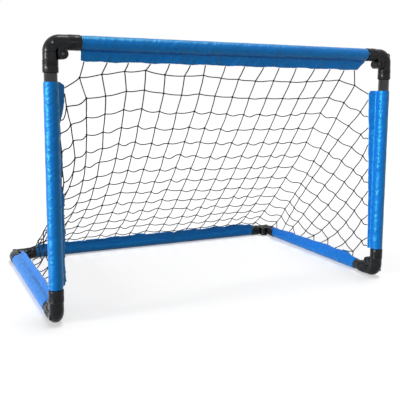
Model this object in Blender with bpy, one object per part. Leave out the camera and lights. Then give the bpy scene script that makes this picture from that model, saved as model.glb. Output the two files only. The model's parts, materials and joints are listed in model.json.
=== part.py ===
"""Folding soccer goal: a tube frame on six folding corner knuckles, with cloth sleeves and a net.

The frame is a crossbar on two posts, and a base of two side rails and a rear rail. Metres, +Z up,
+Y towards the back of the goal, origin on the ground under the middle of the frame.
Run with: blender --background --python part.py
"""

import math

import bmesh
import bpy
from mathutils import Matrix, Vector

MM = 0.001

# Frame, measured between tube axes
FRAME_WIDTH = 880 * MM
FRAME_HEIGHT = 588 * MM
FRAME_DEPTH = 588 * MM

# Tubes
TUBE_RADIUS = 14 * MM
TUBE_WALL = 1.2 * MM
TUBE_END_GAP = 0.5 * MM
TUBE_FIT = 0.3 * MM
ROUND_SIDES = 16

# Knuckle mouldings
KNUCKLE_WALL = 1.75 * MM
COLLAR_WALL = 2.45 * MM
BEND_RADIUS = 20 * MM
BEND_STEPS = 5
SEAM_GAP = 0.4 * MM
TUBE_GRIP = 26 * MM
SEAT_WALL = 1 * MM
COLLAR_CHAMFER = 0.8 * MM
GROOVE_COUNT = 2
GROOVE_WIDTH = 2.6 * MM
GROOVE_DEPTH = 0.8 * MM

# Hinge lug of a knuckle, with two outer ears round one middle ear
PIN_SETBACK = 4 * MM
LUG_RADIUS = 11.5 * MM
LUG_LENGTH = 28 * MM
LUG_GAP = 0.5 * MM
EAR_GAP = 0.4 * MM
MIDDLE_EAR = 9 * MM
EAR_ARC_STEPS = 11
LUG_SIDES = 20

# Locating stub on the socket's seam face
STUB_RADIUS = 9 * MM
STUB_HEIGHT = 5 * MM
STUB_OFFSET = 3 * MM
STUB_PLAY = 1.8 * MM
STUB_END_GAP = 1 * MM

# Pivot bolt and nut
BOLT_RADIUS = 3 * MM
BOLT_FIT = 0.3 * MM
HEAD_RADIUS = 4.7 * MM
HEAD_HEIGHT = 3 * MM
HEAD_FIT = 0.4 * MM
HEAD_SINK = 0.4 * MM
HEX_RADIUS = 2.2 * MM
HEX_DEPTH = 1.6 * MM
NUT_HEIGHT = 3 * MM
BOLT_SIDES = 12

# Lock button in its boss on the bend
BOSS_RADIUS = 6 * MM
BOSS_PROUD = 1.5 * MM
BUTTON_RADIUS = 4.1 * MM
BUTTON_FIT = 0.3 * MM
BUTTON_LENGTH = 8 * MM
BUTTON_PROUD = 0.5 * MM
BUTTON_TRAVEL = 2.5 * MM
BUTTON_END_GAP = 0.5 * MM
BUTTON_INSET = 2 * MM
BUTTON_CROWN = 0.5 * MM
BUTTON_SIDES = 12

# Cloth sleeves
CLOTH_GAP = 0.3 * MM
CLOTH_THICKNESS = 1.2 * MM
CROSSBAR_FLAP_REACH = 39 * MM
POST_FLAP_REACH = 32 * MM
RAIL_FLAP_REACH = 33 * MM
REAR_FLAP_REACH = 33 * MM
FLAP_ROOT = 20 * MM
HEM_WAVE = 1.5 * MM
HEM_DRIFT = 1.1
SLEEVE_END_GAP = 1.5 * MM
POST_BARE = 23 * MM
RAIL_BARE = 17 * MM
SLEEVE_ARC_POINTS = 12
SLEEVE_FLARE = math.radians(50)
CROSSBAR_FLAP_LEAN = math.radians(10)
POST_FLAP_TURN = math.radians(50)
RAIL_FLAP_RISE = math.radians(60)
REAR_FLAP_RISE = math.radians(60)

# Net
TWINE_HALF = 1.1 * MM
NET_SEAT = 0.3 * MM
BACK_CELL_WIDTH = 53 * MM
BACK_CELL_LENGTH = 63 * MM
BACK_NET_INSET = 72 * MM
NET_SAG = 30 * MM
NET_EDGE_SAG = 26 * MM
NET_EDGE_DRAW = 36 * MM
NET_EDGE_SPAN = 105 * MM
NET_SEAM = 5 * MM
SIDE_NET_BELLY = 2
SIDE_COLUMNS = 6
SIDE_ROWS = 5
SIDE_NET_REAR_STOP = 120 * MM
SIDE_NET_TOP_DROP = 100 * MM
SIDE_NET_FOOT_RISE = 72 * MM

# Sizes that follow from the ones above
BODY_RADIUS = TUBE_RADIUS + KNUCKLE_WALL
BORE_RADIUS = TUBE_RADIUS + TUBE_FIT
COLLAR_RADIUS = BORE_RADIUS + COLLAR_WALL
PIN_OFFSET = BEND_RADIUS + PIN_SETBACK
SOCKET_SEAT = PIN_OFFSET + LUG_RADIUS + LUG_GAP + SEAT_WALL
ARM_LENGTH = SOCKET_SEAT + TUBE_GRIP
POCKET_RADIUS = LUG_RADIUS + LUG_GAP
SLEEVE_STEP = (2 * math.pi - 2 * SLEEVE_FLARE) / (SLEEVE_ARC_POINTS - 1)
TUBE_CORNER = TUBE_RADIUS / math.cos(math.pi / ROUND_SIDES)
SLEEVE_BORE = (TUBE_CORNER + CLOTH_GAP) / math.cos(SLEEVE_STEP / 2)
SLEEVE_RADIUS = SLEEVE_BORE + CLOTH_THICKNESS
AXIS_HEIGHT = max(COLLAR_RADIUS, SLEEVE_RADIUS)

LEFT = -FRAME_WIDTH / 2
RIGHT = FRAME_WIDTH / 2
FRONT = -FRAME_DEPTH / 2
REAR = FRAME_DEPTH / 2
LOW = AXIS_HEIGHT
HIGH = AXIS_HEIGHT + FRAME_HEIGHT

AXIS_X = Vector((1, 0, 0))
AXIS_Y = Vector((0, 1, 0))
AXIS_Z = Vector((0, 0, 1))


def material(name, colour, roughness, metallic=0.0):
    """A Principled material in one colour."""
    made = bpy.data.materials.new(name)
    made.use_nodes = True
    shader = made.node_tree.nodes["Principled BSDF"]
    shader.inputs["Base Color"].default_value = (*colour, 1)
    shader.inputs["Roughness"].default_value = roughness
    shader.inputs["Metallic"].default_value = metallic
    made.diffuse_color = (*colour, 1)
    return made


def add_object(name, mesh, finish, origin=Vector(), parent=None):
    """Puts a mesh given in world coordinates into the scene as one object, with its origin at a point."""
    mesh.name = name
    mesh.transform(Matrix.Translation(-origin))
    mesh.materials.clear()
    mesh.materials.append(finish)
    mesh.shade_smooth()
    mesh.set_sharp_from_angle(angle=math.radians(40))
    made = bpy.data.objects.new(name, mesh)
    bpy.context.scene.collection.objects.link(made)
    if parent:
        made.parent = parent
        made.location = origin - parent.location
    else:
        made.location = origin
    return made


def add_empty(name, place):
    """An empty that marks a joint's axis."""
    made = bpy.data.objects.new(name, None)
    made.location = place
    bpy.context.scene.collection.objects.link(made)
    return made


def finished(bm, name="shape"):
    """The mesh of a bmesh, closed and with its faces outwards."""
    bmesh.ops.remove_doubles(bm, verts=bm.verts, dist=1e-7)
    bmesh.ops.recalc_face_normals(bm, faces=bm.faces)
    mesh = bpy.data.meshes.new(name)
    bm.to_mesh(mesh)
    bm.free()
    return mesh


def swept(rings, sides):
    """A solid through rings of a round section: (matrix, radius) each, whose local XY plane holds the ring.

    A radius of 0 is a pole. Where neither end is a pole, the last ring joins the first, round a bore.
    Radii are measured to the middle of a side, and a side faces each local axis.
    """
    bm = bmesh.new()
    loops = []
    for place, radius in rings:
        if radius == 0:
            loops.append([bm.verts.new(place.translation)])
            continue
        corner = radius / math.cos(math.pi / sides)
        angles = [2 * math.pi * (step + 0.5) / sides for step in range(sides)]
        points = [Vector((corner * math.cos(a), corner * math.sin(a), 0)) for a in angles]
        loops.append([bm.verts.new(place @ point) for point in points])
    pairs = list(zip(loops, loops[1:]))
    if len(loops[0]) > 1 and len(loops[-1]) > 1:
        pairs.append((loops[-1], loops[0]))
    for first, second in pairs:
        for step in range(sides):
            after = (step + 1) % sides
            if len(first) == 1:
                bm.faces.new((first[0], second[after], second[step]))
            elif len(second) == 1:
                bm.faces.new((first[step], first[after], second[0]))
            else:
                bm.faces.new((first[step], first[after], second[after], second[step]))
    return finished(bm)


def facing(direction, point=Vector()):
    """A matrix whose Z axis runs along an axis direction, with its other axes along axes too."""
    turn = direction.to_track_quat("Z", "Y").to_matrix().to_4x4()
    return Matrix.Translation(point) @ turn


def turned(profile, direction, point=Vector(), sides=ROUND_SIDES):
    """A turned solid from (station, radius) pairs along a direction from a point."""
    place = facing(direction, point)
    return swept([(place @ Matrix.Translation((0, 0, s)), r) for s, r in profile], sides)


def rod(start, end, radius, sides=ROUND_SIDES):
    """A plain round solid between two points on a line parallel to an axis."""
    run = end - start
    profile = ((0, 0), (0, radius), (run.length, radius), (run.length, 0))
    return turned(profile, run.normalized(), start, sides)


def plate(outline, low, high):
    """An outline of (x, z) points as a plate between two values of y."""
    bm = bmesh.new()
    near = [bm.verts.new((x, low, z)) for x, z in outline]
    far = [bm.verts.new((x, high, z)) for x, z in outline]
    bm.faces.new(near)
    bm.faces.new(far)
    for step in range(len(outline)):
        after = (step + 1) % len(outline)
        bm.faces.new((near[step], near[after], far[after], far[step]))
    return finished(bm)


def carved(body, joined=(), cut=()):
    """A mesh with others joined on and then others cut out, by Booleans."""
    base = bpy.data.objects.new("carve_body", body)
    bpy.context.scene.collection.objects.link(base)
    tools = []
    for operation, meshes in (("UNION", joined), ("DIFFERENCE", cut)):
        for mesh in meshes:
            tool = bpy.data.objects.new("carve_tool", mesh)
            bpy.context.scene.collection.objects.link(tool)
            modifier = base.modifiers.new(operation.lower(), "BOOLEAN")
            modifier.operation = operation
            modifier.solver = "EXACT"
            modifier.object = tool
            tools.append(tool)
    bpy.context.view_layer.update()
    evaluated = base.evaluated_get(bpy.context.evaluated_depsgraph_get())
    made = bpy.data.meshes.new_from_object(evaluated)
    for tool in [base, *tools]:
        bpy.data.objects.remove(tool)
    return made


# The knuckle is made once, about the corner where its two arms' axes meet: arm A runs along +X on the
# bend, arm B along -Z on the socket, the pin runs along Y at the inner corner, and the button faces -Y.

PIN = Vector((PIN_OFFSET, 0, -PIN_OFFSET))
LUG_HALF = LUG_LENGTH / 2


def collar_profile():
    """(station, radius) pairs of an arm from its neck to its open end and down its bore to the tube's seat."""
    profile = [(SOCKET_SEAT - COLLAR_CHAMFER, BODY_RADIUS), (SOCKET_SEAT, COLLAR_RADIUS)]
    pitch = TUBE_GRIP / (GROOVE_COUNT + 1)
    for groove in range(1, GROOVE_COUNT + 1):
        middle = SOCKET_SEAT + groove * pitch
        profile.append((middle - GROOVE_WIDTH / 2, COLLAR_RADIUS))
        profile.append((middle, COLLAR_RADIUS - GROOVE_DEPTH))
        profile.append((middle + GROOVE_WIDTH / 2, COLLAR_RADIUS))
    profile.append((ARM_LENGTH - COLLAR_CHAMFER, COLLAR_RADIUS))
    profile.append((ARM_LENGTH, COLLAR_RADIUS - COLLAR_CHAMFER))
    profile.append((ARM_LENGTH, BORE_RADIUS))
    profile.append((SOCKET_SEAT, BORE_RADIUS))
    profile.append((SOCKET_SEAT, 0))
    return profile


def bend_place(angle):
    """The ring's frame on the bend's centre line, from the seam at 0 to arm A at a right angle."""
    centre = Vector((BEND_RADIUS - BEND_RADIUS * math.cos(angle), 0, BEND_RADIUS * math.sin(angle) - BEND_RADIUS))
    along = Vector((math.sin(angle), 0, math.cos(angle)))
    outward = Vector((-math.cos(angle), 0, math.sin(angle)))
    turn = Matrix((outward, AXIS_Y, along)).transposed().to_4x4()
    return Matrix.Translation(centre) @ turn


def lug_arc(start, end):
    """(x, z) points round the lug from one angle to another, in degrees."""
    angles = [math.radians(start + (end - start) * step / EAR_ARC_STEPS) for step in range(EAR_ARC_STEPS + 1)]
    return [(PIN.x + LUG_RADIUS * math.cos(a), PIN.z + LUG_RADIUS * math.sin(a)) for a in angles]


def pin_rod(low, high, radius, sides=LUG_SIDES):
    """A round cutter about the pin's axis, between two values of y."""
    return rod(Vector((PIN.x, low, PIN.z)), Vector((PIN.x, high, PIN.z)), radius, sides)


def button_seat():
    """The bend's surface at the button, as a distance from the corner plane."""
    off_line = math.hypot(BEND_RADIUS - BUTTON_INSET, BEND_RADIUS - BUTTON_INSET) - BEND_RADIUS
    return math.sqrt(BODY_RADIUS**2 - off_line**2)


BOSS_FACE = button_seat() + BOSS_PROUD
BUTTON_TOP = BOSS_FACE + BUTTON_PROUD
BUTTON_BOTTOM = BUTTON_TOP - BUTTON_LENGTH
BUTTON_BORE_END = BUTTON_BOTTOM - BUTTON_TRAVEL - BUTTON_END_GAP
COUNTERBORE = HEAD_HEIGHT + HEAD_SINK


def bend_mesh():
    """The bend: a curved arm from the seam to arm A's collar, with two outer ears, a boss and a stub's recess."""
    rings = [(bend_place(0), 0)]
    for step in range(BEND_STEPS + 1):
        rings.append((bend_place(math.pi / 2 * step / BEND_STEPS), BODY_RADIUS))
    straight = bend_place(math.pi / 2)
    for station, radius in collar_profile():
        rings.append((straight @ Matrix.Translation((0, 0, station - BEND_RADIUS)), radius))
    body = swept(rings, ROUND_SIDES)

    seam_angle = 180 - math.degrees(math.asin(PIN_SETBACK / LUG_RADIUS))
    ear = lug_arc(0, seam_angle - 360)
    ear.append((ear[-1][0], -BODY_RADIUS / 4))
    ear.append((PIN.x + LUG_RADIUS, -BODY_RADIUS / 4))
    ears = plate(ear, -LUG_HALF, LUG_HALF)
    boss_foot = Vector((BUTTON_INSET, -button_seat() / 2, -BUTTON_INSET))
    boss = rod(boss_foot, Vector((BUTTON_INSET, -BOSS_FACE, -BUTTON_INSET)), BOSS_RADIUS, BUTTON_SIDES)

    recess_foot = Vector((-STUB_OFFSET, 0, -BEND_RADIUS - STUB_HEIGHT))
    recess_end = Vector((-STUB_OFFSET, 0, -BEND_RADIUS - SEAM_GAP + STUB_HEIGHT + STUB_END_GAP))
    past = LUG_HALF + COUNTERBORE
    button_bore_start = Vector((BUTTON_INSET, -BUTTON_BORE_END, -BUTTON_INSET))
    button_bore_end = Vector((BUTTON_INSET, -BUTTON_TOP - BUTTON_TRAVEL, -BUTTON_INSET))
    cutters = (
        pin_rod(-MIDDLE_EAR / 2 - EAR_GAP, MIDDLE_EAR / 2 + EAR_GAP, POCKET_RADIUS),
        pin_rod(-past, past, BOLT_RADIUS + BOLT_FIT, BOLT_SIDES),
        pin_rod(-past, -LUG_HALF + COUNTERBORE, HEAD_RADIUS + HEAD_FIT, BOLT_SIDES),
        pin_rod(LUG_HALF - COUNTERBORE, past, HEAD_RADIUS + HEAD_FIT, BOLT_SIDES),
        rod(recess_foot, recess_end, STUB_RADIUS + STUB_PLAY),
        rod(button_bore_start, button_bore_end, BUTTON_RADIUS + BUTTON_FIT, BUTTON_SIDES),
    )
    return carved(body, (ears, boss), cutters)


def socket_mesh():
    """The socket: arm B with its collar, the middle ear on its side and the stub on its seam face."""
    seam = BEND_RADIUS + SEAM_GAP
    down = -AXIS_Z
    profile = [(seam, 0), (seam, BODY_RADIUS), *collar_profile()]
    body = turned(profile, down)

    seam_drop = PIN_SETBACK - SEAM_GAP
    seam_angle = 180 - math.degrees(math.asin(seam_drop / LUG_RADIUS))
    web_side = BODY_RADIUS / 2
    ear = lug_arc(-90, seam_angle)
    ear.append((web_side, -seam))
    ear.append((web_side, PIN.z - LUG_RADIUS))
    middle_ear = plate(ear, -MIDDLE_EAR * 2 / 3, MIDDLE_EAR * 2 / 3)
    stub_foot = Vector((-STUB_OFFSET, 0, -seam - STUB_HEIGHT))
    stub = rod(stub_foot, Vector((-STUB_OFFSET, 0, -seam + STUB_HEIGHT)), STUB_RADIUS)

    past = COLLAR_RADIUS + LUG_HALF
    cutters = (
        pin_rod(-past, -MIDDLE_EAR / 2, POCKET_RADIUS),
        pin_rod(MIDDLE_EAR / 2, past, POCKET_RADIUS),
        pin_rod(-past, past, BOLT_RADIUS + BOLT_FIT, BOLT_SIDES),
    )
    return carved(body, (middle_ear, stub), cutters)


def bolt_mesh():
    """The pivot bolt: a round head with a hex recess, at the button's side, and its shank."""
    head_top = -LUG_HALF + HEAD_SINK
    shank_end = LUG_HALF - HEAD_SINK
    start = Vector((PIN.x, head_top, PIN.z))
    length = shank_end - head_top
    profile = (
        (0, 0),
        (0, HEAD_RADIUS),
        (HEAD_HEIGHT - BOLT_FIT, HEAD_RADIUS),
        (HEAD_HEIGHT - BOLT_FIT, BOLT_RADIUS),
        (length, BOLT_RADIUS),
        (length, 0),
    )
    body = turned(profile, AXIS_Y, start, BOLT_SIDES)
    recess = pin_rod(head_top - HEX_DEPTH, head_top + HEX_DEPTH, HEX_RADIUS, 6)
    return carved(body, cut=(recess,))


def nut_mesh():
    """The hex nut round the shank's end."""
    low = LUG_HALF - COUNTERBORE + BOLT_FIT
    body = pin_rod(low, low + NUT_HEIGHT - BOLT_FIT, HEAD_RADIUS * math.cos(math.pi / 6), 6)
    return carved(body, cut=(pin_rod(0, LUG_LENGTH, BOLT_RADIUS + BOLT_FIT, BOLT_SIDES),))


def button_mesh():
    """The lock button: a short plunger with a crowned top."""
    start = Vector((BUTTON_INSET, -BUTTON_BOTTOM, -BUTTON_INSET))
    profile = (
        (0, 0),
        (0, BUTTON_RADIUS),
        (BUTTON_LENGTH - BUTTON_CROWN, BUTTON_RADIUS),
        (BUTTON_LENGTH - BUTTON_CROWN / 4, BUTTON_RADIUS * 3 / 4),
        (BUTTON_LENGTH, 0),
    )
    return turned(profile, -AXIS_Y, start, BUTTON_SIDES)


def corner_place(corner, arm_a, arm_b, button_face):
    """The matrix that takes the knuckle to a corner, given its arms' and its button's directions."""
    turn = Matrix((arm_a, -button_face, -arm_b)).transposed().to_4x4()
    return Matrix.Translation(corner) @ turn


def placed(mesh, place):
    """A copy of a mesh moved by a matrix, with its faces still outwards where the matrix mirrors it."""
    made = mesh.copy()
    made.transform(place)
    if place.determinant() < 0:
        made.flip_normals()
    return made


def lattice_mesh(knots, half):
    """A net of square twine through a grid of knots, as one closed body: knots[column][row] are points."""
    columns, rows = len(knots), len(knots[0])
    bm = bmesh.new()
    corners = {}
    for i in range(columns):
        for j in range(rows):
            here = knots[i][j]
            along = (knots[min(i + 1, columns - 1)][j] - knots[max(i - 1, 0)][j]).normalized()
            across = (knots[i][min(j + 1, rows - 1)] - knots[i][max(j - 1, 0)]).normalized()
            normal = along.cross(across).normalized()
            for a in (-1, 1):
                for b in (-1, 1):
                    for c in (-1, 1):
                        point = here + (along * a + across * b + normal * c) * half
                        corners[i, j, a, b, c] = bm.verts.new(point)

    def face(*keys):
        bm.faces.new([corners[key] for key in keys])

    for i in range(columns):
        for j in range(rows):
            for c in (-1, 1):
                face((i, j, -1, -1, c), (i, j, 1, -1, c), (i, j, 1, 1, c), (i, j, -1, 1, c))
            if i == 0:
                face((i, j, -1, -1, -1), (i, j, -1, 1, -1), (i, j, -1, 1, 1), (i, j, -1, -1, 1))
            if i == columns - 1:
                face((i, j, 1, -1, -1), (i, j, 1, 1, -1), (i, j, 1, 1, 1), (i, j, 1, -1, 1))
            if j == 0:
                face((i, j, -1, -1, -1), (i, j, 1, -1, -1), (i, j, 1, -1, 1), (i, j, -1, -1, 1))
            if j == rows - 1:
                face((i, j, -1, 1, -1), (i, j, 1, 1, -1), (i, j, 1, 1, 1), (i, j, -1, 1, 1))
            if i < columns - 1:
                n = i + 1
                for s in (-1, 1):
                    face((i, j, 1, -1, s), (n, j, -1, -1, s), (n, j, -1, 1, s), (i, j, 1, 1, s))
                    face((i, j, 1, s, -1), (n, j, -1, s, -1), (n, j, -1, s, 1), (i, j, 1, s, 1))
            if j < rows - 1:
                n = j + 1
                for s in (-1, 1):
                    face((i, j, -1, 1, s), (i, n, -1, -1, s), (i, n, 1, -1, s), (i, j, 1, 1, s))
                    face((i, j, s, 1, -1), (i, n, s, -1, -1), (i, n, s, -1, 1), (i, j, s, 1, 1))
    return finished(bm)


def sleeve_mesh(start, end, flap, flap_reach, waves, bands):
    """A cloth sleeve round a tube from start to end, sewn into a flat flap that points along flap.

    The flap's free hem waves gently in and out, its waves growing longer by a drift towards the end.
    """
    run = end - start
    along = run.normalized()
    side = along.cross(flap).normalized()
    half = CLOTH_THICKNESS
    arc = [SLEEVE_FLARE + SLEEVE_STEP * step for step in range(SLEEVE_ARC_POINTS)]
    fan = [SLEEVE_FLARE * share for share in (1 / 6, 2 / 5, 2 / 3)]
    inner_angles = fan + arc + [2 * math.pi - a for a in reversed(fan)]
    bm = bmesh.new()
    outer_loops, inner_loops = [], []
    for band in range(bands + 1):
        share = (band / bands) ** HEM_DRIFT
        reach = flap_reach - HEM_WAVE * math.sin(math.pi * waves * band / bands) ** 2
        middle = (FLAP_ROOT + reach) / 2
        outer = [(reach, half), (middle, half), (FLAP_ROOT, half)]
        outer += [(SLEEVE_RADIUS * math.cos(a), SLEEVE_RADIUS * math.sin(a)) for a in arc]
        outer += [(FLAP_ROOT, -half), (middle, -half), (reach, -half)]
        inner = [(SLEEVE_BORE * math.cos(a), SLEEVE_BORE * math.sin(a)) for a in inner_angles]
        base = start + run * share
        outer_loops.append([bm.verts.new(base + flap * p + side * q) for p, q in outer])
        if band in (0, bands):
            inner_loops.append([bm.verts.new(base + flap * p + side * q) for p, q in inner])
    count = len(inner_angles)
    pairs = [*zip(outer_loops, outer_loops[1:]), inner_loops]
    pairs += [(outer_loops[0], inner_loops[0]), (outer_loops[-1], inner_loops[-1])]
    for low, high in pairs:
        for step in range(count):
            after = (step + 1) % count
            bm.faces.new((low[step], low[after], high[after], high[step]))
    return finished(bm)


def tube_mesh(start, end):
    """A round tube between two points on a line parallel to an axis."""
    run = end - start
    bore = TUBE_RADIUS - TUBE_WALL
    profile = ((0, bore), (0, TUBE_RADIUS), (run.length, TUBE_RADIUS), (run.length, bore))
    return turned(profile, run.normalized(), start)


for old in list(bpy.data.objects):
    bpy.data.objects.remove(old)

TUBE_BLACK = material("tube_black_paint", (0.012, 0.012, 0.014), 0.22, 0.2)
KNUCKLE_BLACK = material("knuckle_black_plastic", (0.022, 0.023, 0.026), 0.42)
BOLT_STEEL = material("bolt_steel", (0.55, 0.56, 0.58), 0.3, 1.0)
BUTTON_GREY = material("button_grey", (0.16, 0.17, 0.18), 0.35)
SLEEVE_BLUE = material("sleeve_blue_cloth", (0.045, 0.3, 0.72), 0.55)
NET_BLACK = material("net_black_twine", (0.015, 0.015, 0.017), 0.8)

# The base turns up about the line through the two lower corners' pins
PIN_LINE = Vector((0, FRONT + PIN_OFFSET, LOW + PIN_OFFSET))
BASE_FOLD = add_empty("base_fold_axis", PIN_LINE)

# Corner: place, direction of arm A, of arm B and of the button's face, and what its two halves move with
CORNERS = {
    "upper_left": (Vector((LEFT, FRONT, HIGH)), AXIS_X, -AXIS_Z, -AXIS_Y, None, None),
    "upper_right": (Vector((RIGHT, FRONT, HIGH)), -AXIS_X, -AXIS_Z, -AXIS_Y, None, None),
    "lower_left": (Vector((LEFT, FRONT, LOW)), AXIS_Z, AXIS_Y, -AXIS_X, None, BASE_FOLD),
    "lower_right": (Vector((RIGHT, FRONT, LOW)), AXIS_Z, AXIS_Y, AXIS_X, None, BASE_FOLD),
    "rear_left": (Vector((LEFT, REAR, LOW)), AXIS_X, -AXIS_Y, AXIS_Z, BASE_FOLD, BASE_FOLD),
    "rear_right": (Vector((RIGHT, REAR, LOW)), -AXIS_X, -AXIS_Y, AXIS_Z, BASE_FOLD, BASE_FOLD),
}

BEND, SOCKET, BOLT, NUT, BUTTON = bend_mesh(), socket_mesh(), bolt_mesh(), nut_mesh(), button_mesh()

for corner_name, (corner, arm_a, arm_b, button_face, bend_parent, socket_parent) in CORNERS.items():
    place = corner_place(corner, arm_a, arm_b, button_face)
    pin_point = place @ PIN
    button_point = place @ Vector((BUTTON_INSET, -BUTTON_TOP, -BUTTON_INSET))
    for piece, mesh, finish, origin, parent in (
        ("bend", BEND, KNUCKLE_BLACK, corner, bend_parent),
        ("socket", SOCKET, KNUCKLE_BLACK, pin_point, socket_parent),
        ("bolt", BOLT, BOLT_STEEL, pin_point, bend_parent),
        ("nut", NUT, BOLT_STEEL, pin_point, bend_parent),
        ("button", BUTTON, BUTTON_GREY, button_point, bend_parent),
    ):
        add_object(f"{corner_name}_{piece}", placed(mesh, place), finish, origin, parent)

# Bar: its two corners, and what it moves with
BARS = {
    "crossbar": (Vector((LEFT, FRONT, HIGH)), Vector((RIGHT, FRONT, HIGH)), None),
    "left_post": (Vector((LEFT, FRONT, LOW)), Vector((LEFT, FRONT, HIGH)), None),
    "right_post": (Vector((RIGHT, FRONT, LOW)), Vector((RIGHT, FRONT, HIGH)), None),
    "left_rail": (Vector((LEFT, FRONT, LOW)), Vector((LEFT, REAR, LOW)), BASE_FOLD),
    "right_rail": (Vector((RIGHT, FRONT, LOW)), Vector((RIGHT, REAR, LOW)), BASE_FOLD),
    "rear_rail": (Vector((LEFT, REAR, LOW)), Vector((RIGHT, REAR, LOW)), BASE_FOLD),
}

for bar_name, (first, second, parent) in BARS.items():
    along = (second - first).normalized()
    seat = SOCKET_SEAT + TUBE_END_GAP
    start, end = first + along * seat, second - along * seat
    add_object(f"{bar_name}_tube", tube_mesh(start, end), TUBE_BLACK, (start + end) / 2, parent)

CROSSBAR_FLAP = Vector((0, math.sin(CROSSBAR_FLAP_LEAN), -math.cos(CROSSBAR_FLAP_LEAN)))
REAR_FLAP = Vector((0, -math.cos(REAR_FLAP_RISE), math.sin(REAR_FLAP_RISE)))


def post_flap(inward):
    """A post's flap points back and inwards."""
    return Vector((inward * math.sin(POST_FLAP_TURN), math.cos(POST_FLAP_TURN), 0))


def rail_flap(inward):
    """A side rail's flap leans inwards, its hem well raised."""
    return Vector((inward * math.cos(RAIL_FLAP_RISE), 0, math.sin(RAIL_FLAP_RISE)))


# Sleeve: flap direction and reach, tube left bare at the bar's first and second end, waves of its hem, bands
SLEEVES = {
    "crossbar": (CROSSBAR_FLAP, CROSSBAR_FLAP_REACH, 0, 0, 3, 6),
    "left_post": (post_flap(1), POST_FLAP_REACH, 0, POST_BARE, 2, 4),
    "right_post": (post_flap(-1), POST_FLAP_REACH, 0, POST_BARE, 2, 4),
    "left_rail": (rail_flap(1), RAIL_FLAP_REACH, RAIL_BARE, 0, 2, 4),
    "right_rail": (rail_flap(-1), RAIL_FLAP_REACH, RAIL_BARE, 0, 2, 4),
    "rear_rail": (REAR_FLAP, REAR_FLAP_REACH, 0, 0, 3, 6),
}

for bar_name, (flap, flap_reach, bare_first, bare_second, waves, bands) in SLEEVES.items():
    first, second, parent = BARS[bar_name]
    along = (second - first).normalized()
    start = first + along * (ARM_LENGTH + SLEEVE_END_GAP + bare_first)
    end = second - along * (ARM_LENGTH + SLEEVE_END_GAP + bare_second)
    sleeve = sleeve_mesh(start, end, flap, flap_reach, waves, bands)
    add_object(f"{bar_name}_sleeve", sleeve, SLEEVE_BLUE, (start + end) / 2, parent)

# The net's outer twine lies against the sleeves' hems, this far beyond a flap's reach
TWINE_SEAT = NET_SEAT + TWINE_HALF * math.sqrt(2)
NET_TOP = Vector((0, FRONT, HIGH)) + CROSSBAR_FLAP * (CROSSBAR_FLAP_REACH + TWINE_SEAT)
NET_FOOT = Vector((0, REAR, LOW)) + REAR_FLAP * (REAR_FLAP_REACH + TWINE_SEAT)


def net_point(across, fall):
    """A point of the back net, across it from -1 to 1, and down it from 0 at the crossbar to 1 at the rail.

    The net sags below its straight line, most at its side edges, which the side nets also draw inwards.
    """
    half_width = FRAME_WIDTH / 2 - BACK_NET_INSET
    edge = math.exp((abs(across) - 1) * half_width / NET_EDGE_SPAN)
    bulge = math.sin(math.pi * fall)
    outward = AXIS_X.cross(NET_FOOT - NET_TOP).normalized()
    point = NET_TOP.lerp(NET_FOOT, fall) - outward * (NET_SAG + NET_EDGE_SAG * edge) * math.sqrt(abs(bulge))
    return point + AXIS_X * (across * half_width - math.copysign(NET_EDGE_DRAW * edge * bulge, across))


def back_net_knots():
    """The knots of the back net, from the crossbar's hem down to the rear rail's."""
    columns = round((FRAME_WIDTH - 2 * BACK_NET_INSET) / BACK_CELL_WIDTH)
    rows = round((NET_FOOT - NET_TOP).length / BACK_CELL_LENGTH)
    return [[net_point(2 * i / columns - 1, j / rows) for j in range(rows + 1)] for i in range(columns + 1)]


def side_net_knots(inward):
    """The knots of a side net: it hangs from the back net's edge, down to the hems of post and side rail."""
    outside = Vector((-inward * FRAME_WIDTH / 2, 0, LOW))
    post = outside + Vector((0, FRONT, 0)) + post_flap(inward) * (POST_FLAP_REACH + TWINE_SEAT)
    rail = outside + rail_flap(inward) * (RAIL_FLAP_REACH + TWINE_SEAT)
    rear = REAR - SIDE_NET_REAR_STOP
    knots = []
    for i in range(SIDE_COLUMNS + 1):
        y = post.y + (rear - post.y) * i / SIDE_COLUMNS
        foot = Vector((rail.x, y, rail.z))
        head = net_point(-inward, (y - NET_TOP.y) / (NET_FOOT.y - NET_TOP.y)) - AXIS_X * inward * NET_SEAM
        if i == 0:
            foot = Vector((post.x, y, LOW + SIDE_NET_FOOT_RISE))
            head = Vector((post.x, y, HIGH - SIDE_NET_TOP_DROP))
        column = []
        for j in range(SIDE_ROWS + 1):
            rise = j / SIDE_ROWS
            x = foot.x + (head.x - foot.x) * rise**SIDE_NET_BELLY
            column.append(Vector((x, y + (head.y - y) * rise, foot.z + (head.z - foot.z) * rise)))
        knots.append(column)
    return knots


add_object("back_net", lattice_mesh(back_net_knots(), TWINE_HALF), NET_BLACK)
add_object("left_side_net", lattice_mesh(side_net_knots(1), TWINE_HALF), NET_BLACK)
add_object("right_side_net", lattice_mesh(side_net_knots(-1), TWINE_HALF), NET_BLACK)
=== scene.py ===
# %% [markdown]
# # A folding soccer goal
#
# This lesson dresses a small folding goal: black tubes in moulded corner knuckles, blue cloth sleeves with a
# sewn flap, and a loose knotted net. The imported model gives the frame, so every piece here goes where the
# frame says, in metres, with +Y towards the back of the goal and the ground at height 0.

# %% Load the frame
import json
import math

import bmesh
import bpy
import numpy as np
from mathutils import Matrix, Vector

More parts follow.
